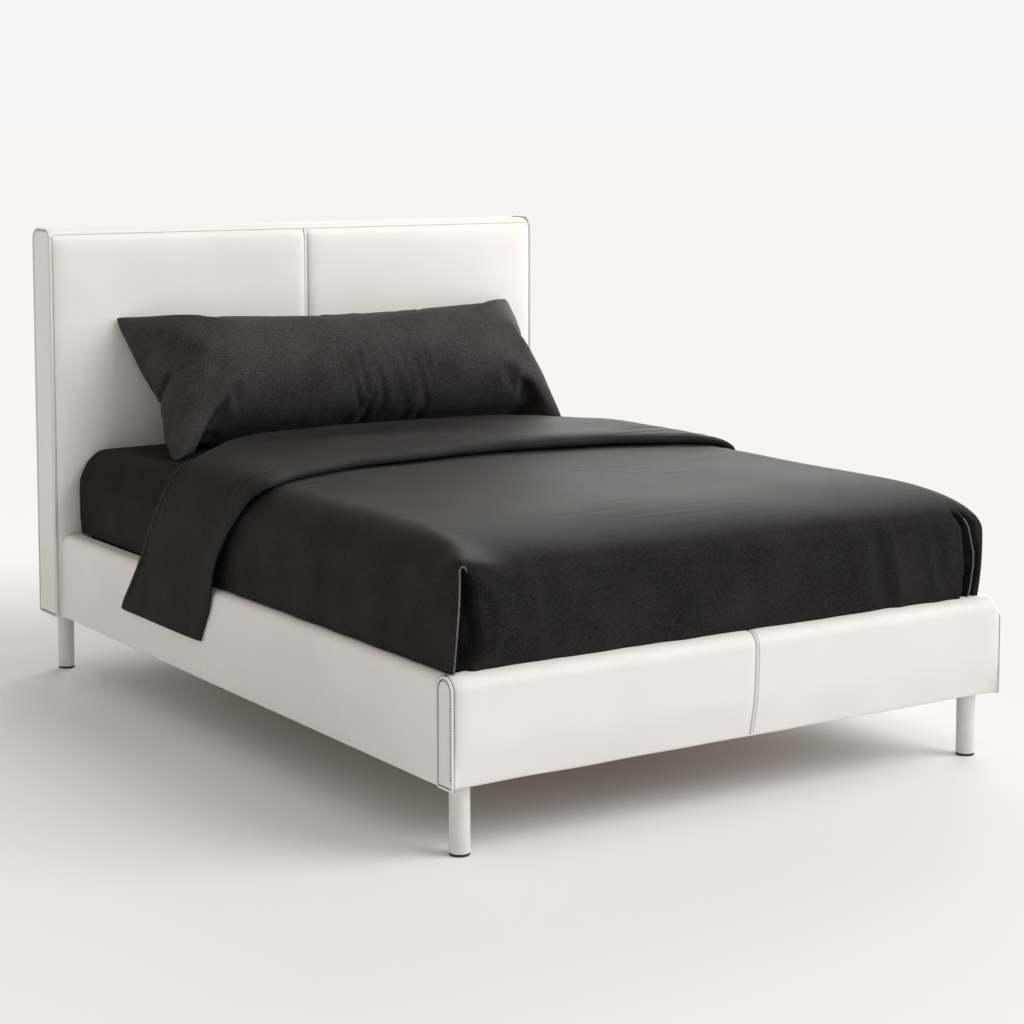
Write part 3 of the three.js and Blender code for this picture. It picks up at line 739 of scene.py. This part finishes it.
def build_legs():
    foot, rim = 0.0052, 0.0105  # heights of the tube's lower end and of its rim
    plate = 0.009  # how far the plate on top stands out
    for which in ("front_left", "front_right", "rear_left", "rear_right"):
        low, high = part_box(f"leg_foot_{which}")
        centre = (low + high) / 2
        radius = (high.x - low.x) / 2
        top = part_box(f"leg_{which}")[1].z - 0.0002
        tube = [(-0.004, foot + 0.0006), (-0.0012, foot + 0.0004), (-0.0002, foot + 0.0012)]
        tube += [(0.0003, foot + 0.0030), (0.0001, rim - 0.0008), (-0.0008, rim), (-0.0003, rim + 0.0012)]
        tube += [(0.0, rim + 0.0035), (0.0, top - 0.004), (0.0, top - 0.0028)]
        tube += [(plate - 0.001, top - 0.0026), (plate, top - 0.0010), (plate - 0.001, top)]
        turned(f"leg_tube_{which}", tube, radius, centre, PAINT_MAT, [f"leg_{which}"])
        pad = [(-0.004, 0.0), (-0.0012, 0.0002), (-0.0004, 0.0012), (-0.0006, 0.0040)]
        pad += [(-0.0014, foot), (-0.006, foot + 0.0010)]
        turned(f"leg_glide_{which}", pad, radius, centre, NYLON_MAT, [f"leg_foot_{which}"])


# ---------- bedding ----------
WALLS = {  # of each wall of a box: the two axes it spans, the axis it faces and its end there
    "top": (0, 1, 2, -1),
    "bottom": (0, 1, 2, 0),
    "left": (2, 1, 0, 0),
    "right": (2, 1, 0, -1),
    "front": (0, 2, 1, 0),
    "back": (0, 2, 1, -1),
}


def skin(xs, ys, zs, walls):
    """The outside of a box as a grid. Returns its points and faces; shared edges share points."""
    axes = (xs, ys, zs)
    index, points, faces = {}, [], []

    def vertex(at):
        if at not in index:
            index[at] = len(points)
            points.append([axis[i] for axis, i in zip(axes, at)])
        return index[at]

    for wall in walls:
        first, second, facing, end = WALLS[wall]
        at = [end % len(axes[facing])] * 3
        for i in range(len(axes[first]) - 1):
            for j in range(len(axes[second]) - 1):
                quad = []
                for at[first], at[second] in ((i, j), (i + 1, j), (i + 1, j + 1), (i, j + 1)):
                    quad.append(vertex(tuple(at)))
                faces.append(quad)
    return np.array(points), faces


def rounded(points, low, high, radius):
    """Rounds the edges of a box of surface points. Returns points and outward directions."""
    core = np.clip(points, low + radius, high - radius)
    out = points - core
    out /= np.linalg.norm(out, axis=1)[:, None]
    return core + radius * out, out


def thick_shell(name, outer, inner, faces, edge_direction, material, body, replaces, rounds=4):
    """Joins an outer and an inner surface of one grid by a rounded edge along their open border."""
    count = len(outer)
    points = [*outer, *inner]
    everything = [list(f) for f in faces] + [[v + count for v in reversed(f)] for f in faces]
    seen = {}
    for face in faces:
        for a, b in zip(face, [*face[1:], face[0]]):
            key = (min(a, b), max(a, b))
            seen[key] = None if key in seen else (a, b)
    border = [pair for pair in seen.values() if pair]
    strips = {}
    for v in {v for pair in border for v in pair}:
        middle = (outer[v] + inner[v]) / 2
        half = (outer[v] - inner[v]) / 2
        size = np.linalg.norm(half)
        chain = [v]
        for step in range(1, rounds):
            angle = math.pi * step / rounds
            points.append(middle + half * math.cos(angle) + edge_direction[v] * size * math.sin(angle))
            chain.append(len(points) - 1)
        chain.append(v + count)
        strips[v] = chain
    for a, b in border:
        for i in range(rounds):
            everything.append([strips[b][i], strips[a][i], strips[a][i + 1], strips[b][i + 1]])
    return make(name, points, everything, material, body, replaces, sharp=75)


def mattress_points(q, low, high, grow):
    """The mattress's shape at these box points, grown outwards. Its sides bulge over the rails."""
    points, out = rounded(q, low, high, MATTRESS_ROUND)
    z = points[:, 2]
    over_rail = smooth(0.3880, 0.3945, z)
    bulge = over_rail * (0.88 + 0.12 * smooth(0.39, 0.45, z)) * (1 - smooth(0.530, 0.622, z))
    bulge = bulge * (0.004 + (MATTRESS_BULGE - 0.004) * smooth(0.18, 0.36, points[:, 1]))
    points[:, 0] += np.sign(points[:, 0]) * bulge * np.abs(out[:, 0])
    points[:, 2] += 0.0015 * np.clip(out[:, 2], 0, 1) * (1 - (points[:, 0] / high[0]) ** 2)
    return points + out * grow


def build_mattress():
    low, high = (np.array(corner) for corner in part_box("mattress"))
    high[1] -= 0.005
    xs, ys = (stations(low[i], high[i], 0.05, 0.05, 0.008) for i in (0, 1))
    zs = stations(low[2], high[2], 0.03, 0.05, 0.006, (low[2], 0.393, high[2]))
    q, faces = skin(xs, ys, zs, WALLS)
    points = mattress_points(q, low, high, 0.0)
    points[:, 2] = np.maximum(points[:, 2], low[2])
    pad = make("mattress_core", points, faces, TICKING_MAT, "mattress", ["mattress"], 80)

    piping, pulled_in, up = 0.0035, 0.009, 0.016
    inset = 0.001
    edge = (low[0] + inset, high[0] - inset, low[1] + inset, high[1] - inset)
    loop, normals = arch(*edge, MATTRESS_ROUND, MATTRESS_ROUND, (20, 28, 20))
    rings = []
    for point, out in zip(loop, normals):
        centre = (*(point - out * pulled_in), low[2] + up)
        rings.append(circle(centre, piping, (*out, 0.0), (0, 0, 1), 8))
    make("mattress_piping", *loft(rings, closed=True), TICKING_MAT, "mattress")
    build_sheet(low, high, xs, ys)


def build_sheet(low, high, xs, ys):
    """The fitted sheet, stretched over the mattress between these corners."""
    bottom = high[2] - SHEET_DROP
    zs = stations(bottom, high[2], 0.025, 0.05, 0.004, (0.3915, high[2]))
    q, faces = skin(xs, ys, zs, ("top", "left", "right", "front", "back"))
    clear = 0.0006
    outer = mattress_points(q, low, high, clear + SHEET_THICK)
    inner = mattress_points(q, low, high, clear)
    x, y, z = q.T
    to_end = np.minimum(np.abs(y - low[1]), np.abs(y - high[1]))
    near_corner = bell(np.abs(np.abs(x) - high[0]), 0.10) * bell(to_end, 0.10)
    gathers = 0.0016 * near_corner * (1 - smooth(bottom, bottom + 0.16, z)) * np.cos((x + y) * 260)
    soft = 0.0007 * waves(x + y, z, 31, 10, (2, 6), (1, 4))
    away = q - [0.0, (low[1] + high[1]) / 2, 0.0]
    away[:, 2] = 0
    away /= np.maximum(np.linalg.norm(away, axis=1), 1e-6)[:, None]
    shift = away * ((gathers + np.maximum(soft, 0)) * (z < high[2] - 1e-6))[:, None]
    down = np.tile([0.0, 0.0, -1.0], (len(q), 1))
    surfaces = (outer + shift, inner + shift, faces, down)
    cloth = thick_shell("fitted_sheet_cloth", *surfaces, SHEET_MAT, "mattress", ["fitted_sheet"])


DUVET_HALF = 0.738  # half width
DUVET_FRONT = -1.072
DUVET_HEAD = 0.570
DUVET_TOP = 0.658
DUVET_HEM = 0.394  # height of its lower edge
LINING_HALF = 0.7180  # the same sizes of its underside, and the radius of that side's edges
LINING_FRONT = -1.0385
LINING_TOP = 0.6255
LINING_ROUND = 0.048
SHORTER_SIDES = 0.40  # how much earlier the duvet ends at its sides, under the turned-back layer
PLEAT_DEPTH = 0.052
PLEAT_TOP = 0.612
HEM_RADIUS = 0.0019


def shoulder(share, power):
    """How far a rounded edge has fallen, 0 to 1, at this share of its reach."""
    return 1 - (1 - np.clip(share, 0, 1) ** power) ** (1 / power)


def soft_box(q, half, front, top, reach, falls, power, corner):
    """Rounds the top edges of the duvet's box. The front corners fall by corner, left and right."""
    x, y, z = q.T
    to_side = (np.abs(x) - (half - reach[0])) / reach[0]
    to_front = (front + reach[1] - y) / reach[1]
    near_front = smooth(0.62, 1.0, to_front)
    near_side = smooth(0.80, 1.0, np.abs(x) / half)
    tight = np.where(x < 0, corner[0], corner[1])
    fall_side = falls[0] + (tight - falls[0]) * near_front
    fall_front = falls[1] + (tight - falls[1]) * near_side
    side = fall_side * shoulder(to_side, power)
    ahead = fall_front * shoulder(to_front, power)
    crest = top - 0.005 * (np.abs(x) / half) ** 3 - (side**3 + ahead**3) ** (1 / 3)
    points = q.copy()
    points[:, 2] = DUVET_HEM + (z - DUVET_HEM) * (crest - DUVET_HEM) / (DUVET_TOP - DUVET_HEM)
    wall_side = np.clip(to_side, 0, 1) ** 5
    wall_front = np.clip(to_front, 0, 1) ** 9
    return points, wall_side, wall_front


def left_pleat(inward, height):
    """The open pleat at the front left corner: a lip, a deep narrow fold and a scoop beside it."""
    levels = [0, 0.08, 0.2, 0.4, 0.6, 0.8, 0.93, 1.0]
    mouth = np.interp(height, levels, [0.016, 0.024, 0.034, 0.036, 0.034, 0.031, 0.017, 0.008])
    slope = np.interp(height, levels, [0.014, 0.022, 0.030, 0.026, 0.018, 0.013, 0.010, 0.008])
    width = np.interp(height, levels, [0.034, 0.052, 0.076, 0.094, 0.094, 0.066, 0.036, 0.018])
    opened = smooth(1.0, 0.90, height) * (0.60 + 0.40 * smooth(0.0, 0.15, height))
    deep = PLEAT_DEPTH * (1 - smooth(mouth, mouth + slope, inward))
    scoop = 0.007 * (1 - smooth(mouth, width + 0.01, inward))
    ridge = -0.0035 * bell(inward - width * 1.10, 0.014)
    return smooth(0.0008, 0.0030, inward) * (deep + scoop) * opened + ridge * smooth(1.0, 0.85, height)


def right_lip(height):
    """How far in from the corner the outer pleat's edge is at this height."""
    return np.interp(height, [0, 0.1, 0.35, 0.5, 0.8, 0.95], [0.048, 0.040, 0.032, 0.033, 0.052, 0.078])


def right_pleats(inward, height):
    """Two pleats at the front right corner, with a layer showing between them."""
    lip = right_lip(height)
    panel = lip + np.interp(height, [0, 0.3, 0.5, 0.8, 1.0], [0.020, 0.024, 0.028, 0.020, 0.014])
    middle = (lip + panel) / 2
    first = 0.027 * smooth(lip, lip + 0.0018, inward) * (1 - smooth(middle, panel + 0.006, inward))
    inner = lip - 0.016
    second = 0.018 * smooth(inner - 0.006, inner - 0.004, inward) * (1 - smooth(inner, inner + 0.008, inward))
    ridge = -0.0025 * bell(inward - panel - 0.012, 0.010)
    return (first + second + ridge) * smooth(1.0, 0.88, height)


def front_folds(x, height):
    """Soft hanging folds of the front drop, deepest half way down."""
    folds = [(0.405, 0.020, -0.0085), (0.438, 0.018, 0.0080), (0.560, 0.016, 0.0056), (0.590, 0.014, -0.0048)]
    folds += [(0.20, 0.03, 0.0034), (-0.56, 0.022, 0.0046), (-0.52, 0.02, -0.0038), (-0.18, 0.04, 0.0030)]
    total = 0.0024 * waves(x, height, 43, 14, (3.0, 11.0), (0.1, 0.6))
    for at, width, size in folds:
        total = total + size * bell(x - at - 0.05 * (0.6 - height), width)
    return total * np.sin(np.pi * np.clip(height * 0.85 + 0.1, 0, 1))


def shorten_sides(points, across):
    """Pulls the duvet's head end back towards its sides, in place."""
    head = DUVET_HEAD - SHORTER_SIDES * smooth(0.42, 0.70, np.abs(across))
    points[:, 1] *= np.where(points[:, 1] > 0, head / DUVET_HEAD, 1.0)


def duvet_skin(q):
    """The duvet's outer surface at these points of its box."""
    points, wall_side, wall_front = soft_box(
        q, DUVET_HALF, DUVET_FRONT, DUVET_TOP, (0.105, 0.34), (0.088, 0.078), 2.1, (0.034, 0.082)
    )
    x, y, z = points.T.copy()
    height = np.clip((z - DUVET_HEM) / (PLEAT_TOP - DUVET_HEM), 0, 1)
    belly = np.sin(np.pi * height)
    tuck = 0.012 * (1 - height) ** 2 * smooth(-0.80, DUVET_FRONT, y)
    hang = 0.0013 * waves(y, z, 41, 12, (2.0, 7.0), (0.2, 1.2))
    drawn_in = np.where(x > 0, 0.009 * np.clip(x / DUVET_HALF, 0, 1) ** 4, 0.003)
    flare = 0.002 * belly + np.where(x > 0, -tuck, 0.013 * (1 - height) ** 2)
    points[:, 0] += np.sign(x) * wall_side * (flare + hang) - drawn_in
    pleats = left_pleat(x + DUVET_HALF, height) + right_pleats(DUVET_HALF - x, height)
    points[:, 1] += wall_front * (pleats - front_folds(x, height) - 0.003 * belly)
    up = 1 - np.maximum(wall_side, wall_front)
    near_band = 0.25 + 0.75 * smooth(-0.70, -0.15, y)
    ripples = waves(x + 0.30 * y, y, 47, 26, (0.4, 2.4), (14.0, 34.0))
    patches = np.clip(0.35 + 0.65 * waves(x, y, 48, 8, (0.6, 1.8), (0.8, 2.2)), 0.05, 1)
    swells = waves(x, y, 49, 10, (0.6, 2.0), (1.0, 3.0))
    points[:, 2] += up * (0.0007 * ripples * near_band * patches + 0.0013 * swells)
    shorten_sides(points, x)
    return points


def duvet_lining(q):
    """The duvet's inner surface, lying on the sheet."""
    inner = q.copy()
    inner[:, 0] *= LINING_HALF / DUVET_HALF
    inner[:, 1] -= DUVET_HEAD
    inner[:, 1] *= (DUVET_HEAD - LINING_FRONT) / (DUVET_HEAD - DUVET_FRONT)
    inner[:, 1] += DUVET_HEAD
    edges = (LINING_ROUND, LINING_ROUND)
    points, _, _ = soft_box(inner, LINING_HALF, LINING_FRONT, LINING_TOP, edges, edges, 2.0, edges)
    over_x = np.clip(np.abs(points[:, 0]) - (LINING_HALF - LINING_ROUND), 0, LINING_ROUND)
    over_y = np.clip(LINING_FRONT + LINING_ROUND - points[:, 1], 0, LINING_ROUND)
    pull = 1 - np.maximum(over_x, over_y) / np.maximum(np.hypot(over_x, over_y), 1e-9)
    pull = np.where((over_x > 0) & (over_y > 0), pull, 0)
    points[:, 0] -= np.sign(points[:, 0]) * over_x * pull
    points[:, 1] += over_y * pull
    shorten_sides(points, inner[:, 0])
    return points


def build_duvet_body():
    xs = stations(-DUVET_HALF, DUVET_HALF, 0.012, 0.11, 0.0022)
    near = stations(DUVET_FRONT, -0.01, 0.0078, 0.06, 0.0030, (DUVET_FRONT,))
    ys = np.concatenate([near, np.linspace(0.01, DUVET_HEAD, 28)])
    zs = np.linspace(DUVET_HEM, DUVET_TOP, 30)
    q, faces = skin(xs, ys, zs, ("top", "left", "right", "front"))
    edge = np.zeros_like(q)
    edge[q[:, 2] < DUVET_HEM + 1e-6, 2] = -0.3
    edge[q[:, 1] > DUVET_HEAD - 1e-6, 1] = 0.6
    surfaces = (duvet_skin(q), duvet_lining(q), faces, edge)
    body = thick_shell("duvet_body", *surfaces, DUVET_MAT, "duvet", ["duvet"])
    build_duvet_hems()


def build_duvet_hems():
    """The stitched edges that show in the pleats of the two front corners, in a lighter cotton: a painted
    highlight where the edges catch the light.
    """
    heights = np.linspace(DUVET_HEM + 0.001, DUVET_TOP, 24)
    corner = np.array([(-DUVET_HALF, DUVET_FRONT, z) for z in heights])
    over = np.array([(-DUVET_HALF + d, DUVET_FRONT, DUVET_TOP) for d in (0.006, 0.013, 0.021)])
    path = duvet_skin(np.vstack([corner, over]))
    path[-3:, 1] += [-0.002, 0.000, 0.003]
    path[-3:, 2] -= [0.0, 0.004, 0.014]
    path[:, 1] -= 0.0008
    cord("duvet_hem_left", path, HEM_RADIUS, HEM_HIGHLIGHT_MAT, "duvet")
    share = np.linspace(0.0, 0.90, len(heights))
    lip = np.column_stack([DUVET_HALF - right_lip(share) + 0.0012, np.full(len(share), DUVET_FRONT), heights])
    for _ in range(4):  # moves each point until it is at its share of the height on the finished surface
        reached = (duvet_skin(lip)[:, 2] - DUVET_HEM) / (PLEAT_TOP - DUVET_HEM)
        lip[:, 2] += (share - reached) * (PLEAT_TOP - DUVET_HEM)
    path = duvet_skin(lip)
    path[:, 1] -= 0.0010
    cord("duvet_hem_right", path, HEM_RADIUS, HEM_HIGHLIGHT_MAT, "duvet")


BAND_SECTION = [  # the turned-back layer's outer line, from a flap's hem up and over: half width, height
    (0.7870, 0.2560), (0.7875, 0.3000), (0.7870, 0.3450), (0.7850, 0.3720), (0.7815, 0.3950), (0.7775, 0.4170),
    (0.7720, 0.4500), (0.7640, 0.5000), (0.7560, 0.5500), (0.7450, 0.6000), (0.7310, 0.6380), (0.7030, 0.6640),
    (0.6600, 0.6770), (0.6000, 0.6830), (0.4000, 0.6880), (0.2000, 0.6895),
]
BAND_HEAD_EDGE = [  # distance along that line from the hem, and where the head-side edge is there
    (0.000, 0.550), (0.044, 0.512), (0.094, 0.468), (0.140, 0.440), (0.200, 0.422), (0.295, 0.370),
    (0.375, 0.326), (0.440, 0.319), (0.490, 0.345), (0.550, 0.405), (0.640, 0.500), (0.760, 0.565),
    (1.000, 0.595),
]
BAND_FOOT_EDGE = [  # the same for the rounded edge on the foot side
    (0.000, 0.076), (0.040, 0.042), (0.120, -0.002), (0.200, -0.004), (0.270, -0.040), (0.360, -0.110),
    (0.410, -0.135), (0.470, -0.115), (0.530, -0.075), (0.750, 0.003), (1.060, 0.034),
]


def eased(value, table):
    """Reads a table of (at, value) pairs with its corners rounded off."""
    at, values = np.array(table).T
    spread = np.linspace(-0.03, 0.03, 7)
    return np.mean([np.interp(value + d, at, values) for d in spread], axis=0)


def build_turnback():
    """The turned-back layer, swept along its section (u) from the foot-side edge to the head-side one."""
    mirrored = [(-x, z) for x, z in BAND_SECTION]
    section = spline_through(mirrored + BAND_SECTION[::-1], 260)
    tangent = np.gradient(section, axis=0)
    tangent /= np.linalg.norm(tangent, axis=1)[:, None]
    out = np.column_stack([-tangent[:, 1], np.zeros(len(section)), tangent[:, 0]])[:, None]
    x, z = section.T[:, :, None]
    u = lengths(section)[:, None]
    reach = np.minimum(u, u[-1] - u)
    foot_edge = eased(reach, BAND_FOOT_EDGE) + 0.004 * waves(u, 0.0, 61, 6, (0.5, 2.0), (0, 1))
    head_edge = eased(reach, BAND_HEAD_EDGE) + 0.003 * waves(u, 0.0, 62, 6, (0.8, 3.0), (0, 1))
    thick = np.interp(z, [0.26, 0.42, 0.55, 0.62, 0.66, 0.685], [0.009, 0.009, 0.010, 0.013, 0.024, 0.031])
    share = np.linspace(0, 1, 110)
    share = share - 0.07 * np.sin(2 * np.pi * share) / (2 * np.pi)
    y = foot_edge + (head_edge - foot_edge) * share
    from_foot, from_head = y - foot_edge, head_edge - y
    flap = 1 - smooth(0.34, 0.52, reach)
    ripple = 0.0010 * waves(u + 0.2 * y, y, 63, 26, (0.3, 1.7), (11.0, 27.0))
    ripple = ripple * np.clip(0.4 + 0.6 * waves(u, y, 64, 8, (0.6, 1.8), (0.8, 2.2)), 0.05, 1)
    broad = 0.0024 * waves(u, y, 65, 10, (0.3, 1.2), (1.5, 4.0))
    taper = smooth(0.0, 0.06, from_foot) * smooth(0.0, 0.06, from_head)
    hem = 0.0014 * bell(from_head - 0.0185, 0.0024) - 0.0024 * bell(from_head - 0.023, 0.0022)
    swell = 0.004 * np.sin(np.pi * np.clip(from_foot / 0.55, 0, 1)) * smooth(0.6, 0.9, reach)
    lift = (ripple + broad) * (0.15 + 0.85 * taper) * (1 - 0.75 * flap) + hem + swell
    stand_off = 0.010 * np.exp(-from_foot / 0.05) * flap * smooth(0.32, 0.42, z)
    roll = thick * (0.36 * np.exp(-from_foot / 0.018) + 0.25 * np.exp(-from_head / 0.016))
    base = np.stack(np.broadcast_arrays(x, y, z), -1)
    outer = base + out * (lift + stand_off - roll)[..., None]
    inner = base - out * (thick - stand_off - 0.3 * roll)[..., None]
    edge = np.zeros(base.shape)
    edge[:, 0, 1] = -1.0
    edge[:, -1, 1] = 1.0
    edge[[0, -1], :, 2] = -1.0
    at = np.arange(y.size).reshape(y.shape)
    faces = np.stack([at[:-1, :-1], at[1:, :-1], at[1:, 1:], at[:-1, 1:]], -1).reshape(-1, 4).tolist()
    surfaces = (outer.reshape(-1, 3), inner.reshape(-1, 3), faces, edge.reshape(-1, 3))
    band = thick_shell("duvet_turnback", *surfaces, DUVET_MAT, "duvet", [], rounds=6)


# ---------- pillow ----------

PILLOW_FLAT = (1.375, 0.552)
PILLOW_AT = Vector((0.041, 0.796, 0.804))
PILLOW_LEAN = math.radians(47)
PILLOW_CLOTH = {
    "quality": 6,
    "mass": 0.35,
    "tension_stiffness": 22,
    "compression_stiffness": 22,
    "shear_stiffness": 6,
    "bending_stiffness": 3.0,
    "air_damping": 4,
    "use_pressure": True,
    "uniform_pressure_force": 7.0,
}
FILL_FRAMES = 24  # length of the pillow's simulation
SHEET_TOP = 0.6235  # the pillow flattens where it comes within SHEET_SOFT of it
SHEET_SOFT = 0.020
HEADBOARD_FACE = 0.9670  # and against the headboard in the same way
HEADBOARD_SOFT = 0.012


def pillow_bag():
    """Two flat sheets joined at their edge, slightly blown up: the case before it is filled."""
    width, height = PILLOW_FLAT
    nu, nv = 134, 54
    points, faces, index = [], [], {}
    for side in (1, -1):
        for i in range(nu + 1):
            for j in range(nv + 1):
                shared = i in (0, nu) or j in (0, nv)
                if shared and side < 0:
                    index[side, i, j] = index[1, i, j]
                    continue
                u, v = 2 * i / nu - 1, 2 * j / nv - 1
                blown_up = 0.045 * (max(0.0, (1 - u**4) * (1 - v**2))) ** 0.5
                index[side, i, j] = len(points)
                points.append((u * width / 2, v * height / 2, side * blown_up))
        for i in range(nu):
            for j in range(nv):
                corners = ((i, j), (i + 1, j), (i + 1, j + 1), (i, j + 1))
                faces.append([index[side, a, b] for a, b in corners[::side]])
    return points, faces


def fill_by_cloth(piece):
    """Fills the piece by a Cloth simulation with pressure and no gravity. Returns its points."""
    cloth = piece.modifiers.new("fill", "CLOTH")
    for key, value in PILLOW_CLOTH.items():
        setattr(cloth.settings, key, value)
    cloth.settings.effector_weights.gravity = 0
    cloth.point_cache.frame_start = 1
    cloth.point_cache.frame_end = FILL_FRAMES
    scene = bpy.context.scene
    for number in range(1, FILL_FRAMES + 1):
        scene.frame_set(number)
    evaluated = piece.evaluated_get(bpy.context.evaluated_depsgraph_get())
    result = np.array([v.co for v in evaluated.data.vertices])
    piece.modifiers.remove(cloth)
    scene.frame_set(1)
    return result


def pressed(depth, soft):
    """Depth short of a wall, eased so that it never passes the wall: it fades out within soft of it."""
    return np.where(depth < soft, soft * np.exp((depth - soft) / soft), depth)


def build_pillow():
    points, faces = pillow_bag()
    piece = make("pillow_case", points, faces, PILLOW_PAINTED_LIGHT_MAT, "pillow", ["pillow"], 80)
    filled = fill_by_cloth(piece)
    u = filled[:, 0] / (PILLOW_FLAT[0] / 2)
    v = filled[:, 1] / (PILLOW_FLAT[1] / 2)
    filled[:, 2] *= 1 + 0.10 * np.clip(-v, 0, 1)
    filled[:, 2] -= 0.02 * np.clip(-filled[:, 1], 0, 1)
    c, s = math.cos(PILLOW_LEAN), math.sin(PILLOW_LEAN)
    droop = smooth(0.55, 1.0, -u) * smooth(0.3, 1.0, -v)
    x = PILLOW_AT.x + filled[:, 0]
    y = PILLOW_AT.y + filled[:, 1] * c - filled[:, 2] * s - 0.045 * droop
    z = PILLOW_AT.z + filled[:, 1] * s + filled[:, 2] * c - 0.030 * droop
    y = HEADBOARD_FACE - pressed(HEADBOARD_FACE - y, HEADBOARD_SOFT)
    z = SHEET_TOP + pressed(z - SHEET_TOP, SHEET_SOFT)
    piece.data.vertices.foreach_set("co", np.column_stack([x, y, z]).astype(np.float32).ravel())
    piece.data.update()
    soften = piece.modifiers.new("soften", "SUBSURF")
    soften.levels = soften.render_levels = 1


# ---------- studio ----------

WORLD_LIGHT = 0.58
KEY_LIGHT = 1.95
RIM_LIGHT = 1.75
HEAD_LIGHT = 105.0
BACKDROP = (0.905, 0.900, 0.902, 1)  # what the camera sees behind the floor
FLOOR_COLOUR = (0.836, 0.838, 0.853, 1)  # under this light it ends up like the backdrop
FLOOR_RADIUS = 900.0
CAMERA_AT = (-3.2287, -5.0885, 1.5150)
CAMERA_DOWN = 5.671  # degrees
CAMERA_TURN = -33.088
CAMERA_LENS = 82.3  # mm, on a 36 mm wide sensor


def add_camera(scene):
    data = bpy.data.cameras.new("camera")
    data.lens = CAMERA_LENS
    data.sensor_width = 36.0
    data.shift_y = -0.1504
    data.clip_end = 3000.0
    camera = bpy.data.objects.new("camera", data)
    camera.location = CAMERA_AT
    camera.rotation_euler = (math.radians(90 - CAMERA_DOWN), 0.0, math.radians(CAMERA_TURN))
    scene.collection.objects.link(camera)
    scene.camera = camera


def add_floor(scene):
    mesh = bpy.data.meshes.new("floor")
    mesh.from_pydata(circle((0, 0, -0.0002), FLOOR_RADIUS, (1, 0, 0), (0, 1, 0), 64), [], [list(range(64))])
    floor = bpy.data.objects.new("floor", mesh)
    scene.collection.objects.link(floor)
    n = Nodes("floor")
    n.set(Base_Color=FLOOR_COLOUR, Roughness=0.9, Specular_IOR_Level=0.0)
    mesh.materials.append(n.material)


def add_world(scene):
    """Warm light from all sides, with a plain backdrop that only the camera sees."""
    world = bpy.data.worlds.new("studio")
    scene.world = world
    world.use_nodes = True
    tree = world.node_tree
    light = tree.nodes["Background"]
    light.inputs["Color"].default_value = (1.0, 0.953, 0.885, 1)
    light.inputs["Strength"].default_value = WORLD_LIGHT
    seen = tree.nodes.new("ShaderNodeBackground")
    seen.inputs["Color"].default_value = BACKDROP
    path = tree.nodes.new("ShaderNodeLightPath")
    mix = tree.nodes.new("ShaderNodeMixShader")
    for i, output in enumerate((path.outputs["Is Camera Ray"], light.outputs[0], seen.outputs[0])):
        tree.links.new(output, mix.inputs[i])
    tree.links.new(mix.outputs[0], tree.nodes["World Output"].inputs["Surface"])


def add_light(scene, name, kind, energy, direction, place=(0, 0, 0), **settings):
    """A lamp that shines from this direction."""
    lamp = bpy.data.lights.new(name, kind)
    lamp.energy = energy
    for key, value in settings.items():
        setattr(lamp, key, value)
    holder = bpy.data.objects.new(name, lamp)
    holder.location = place
    holder.rotation_mode = "QUATERNION"
    holder.rotation_quaternion = Vector(direction).to_track_quat("Z", "Y")
    scene.collection.objects.link(holder)


def build_studio():
    scene = bpy.context.scene
    scene.view_settings.view_transform = "Standard"
    scene.view_settings.look = "None"
    add_camera(scene)
    add_floor(scene)
    add_world(scene)
    add_light(scene, "key", "SUN", KEY_LIGHT, (0.55, -0.52, 0.58), angle=math.radians(44))
    add_light(scene, "rim", "SUN", RIM_LIGHT, (0.70, 0.62, 0.26), angle=math.radians(40))
    add_light(
        scene, "headboard_fill", "SPOT", HEAD_LIGHT, (2.40, -2.00, 0.68), (2.6, -1.0, 1.6),
        spot_size=math.radians(62), spot_blend=1.0, shadow_soft_size=0.5,
    )


build_studio()
finish_cad_nodes()
build_head_front()
build_head_top()
build_head_back()
build_head_ends()
build_footboard()
build_rails()
build_legs()
build_mattress()
build_duvet_body()
build_turnback()
build_pillow()
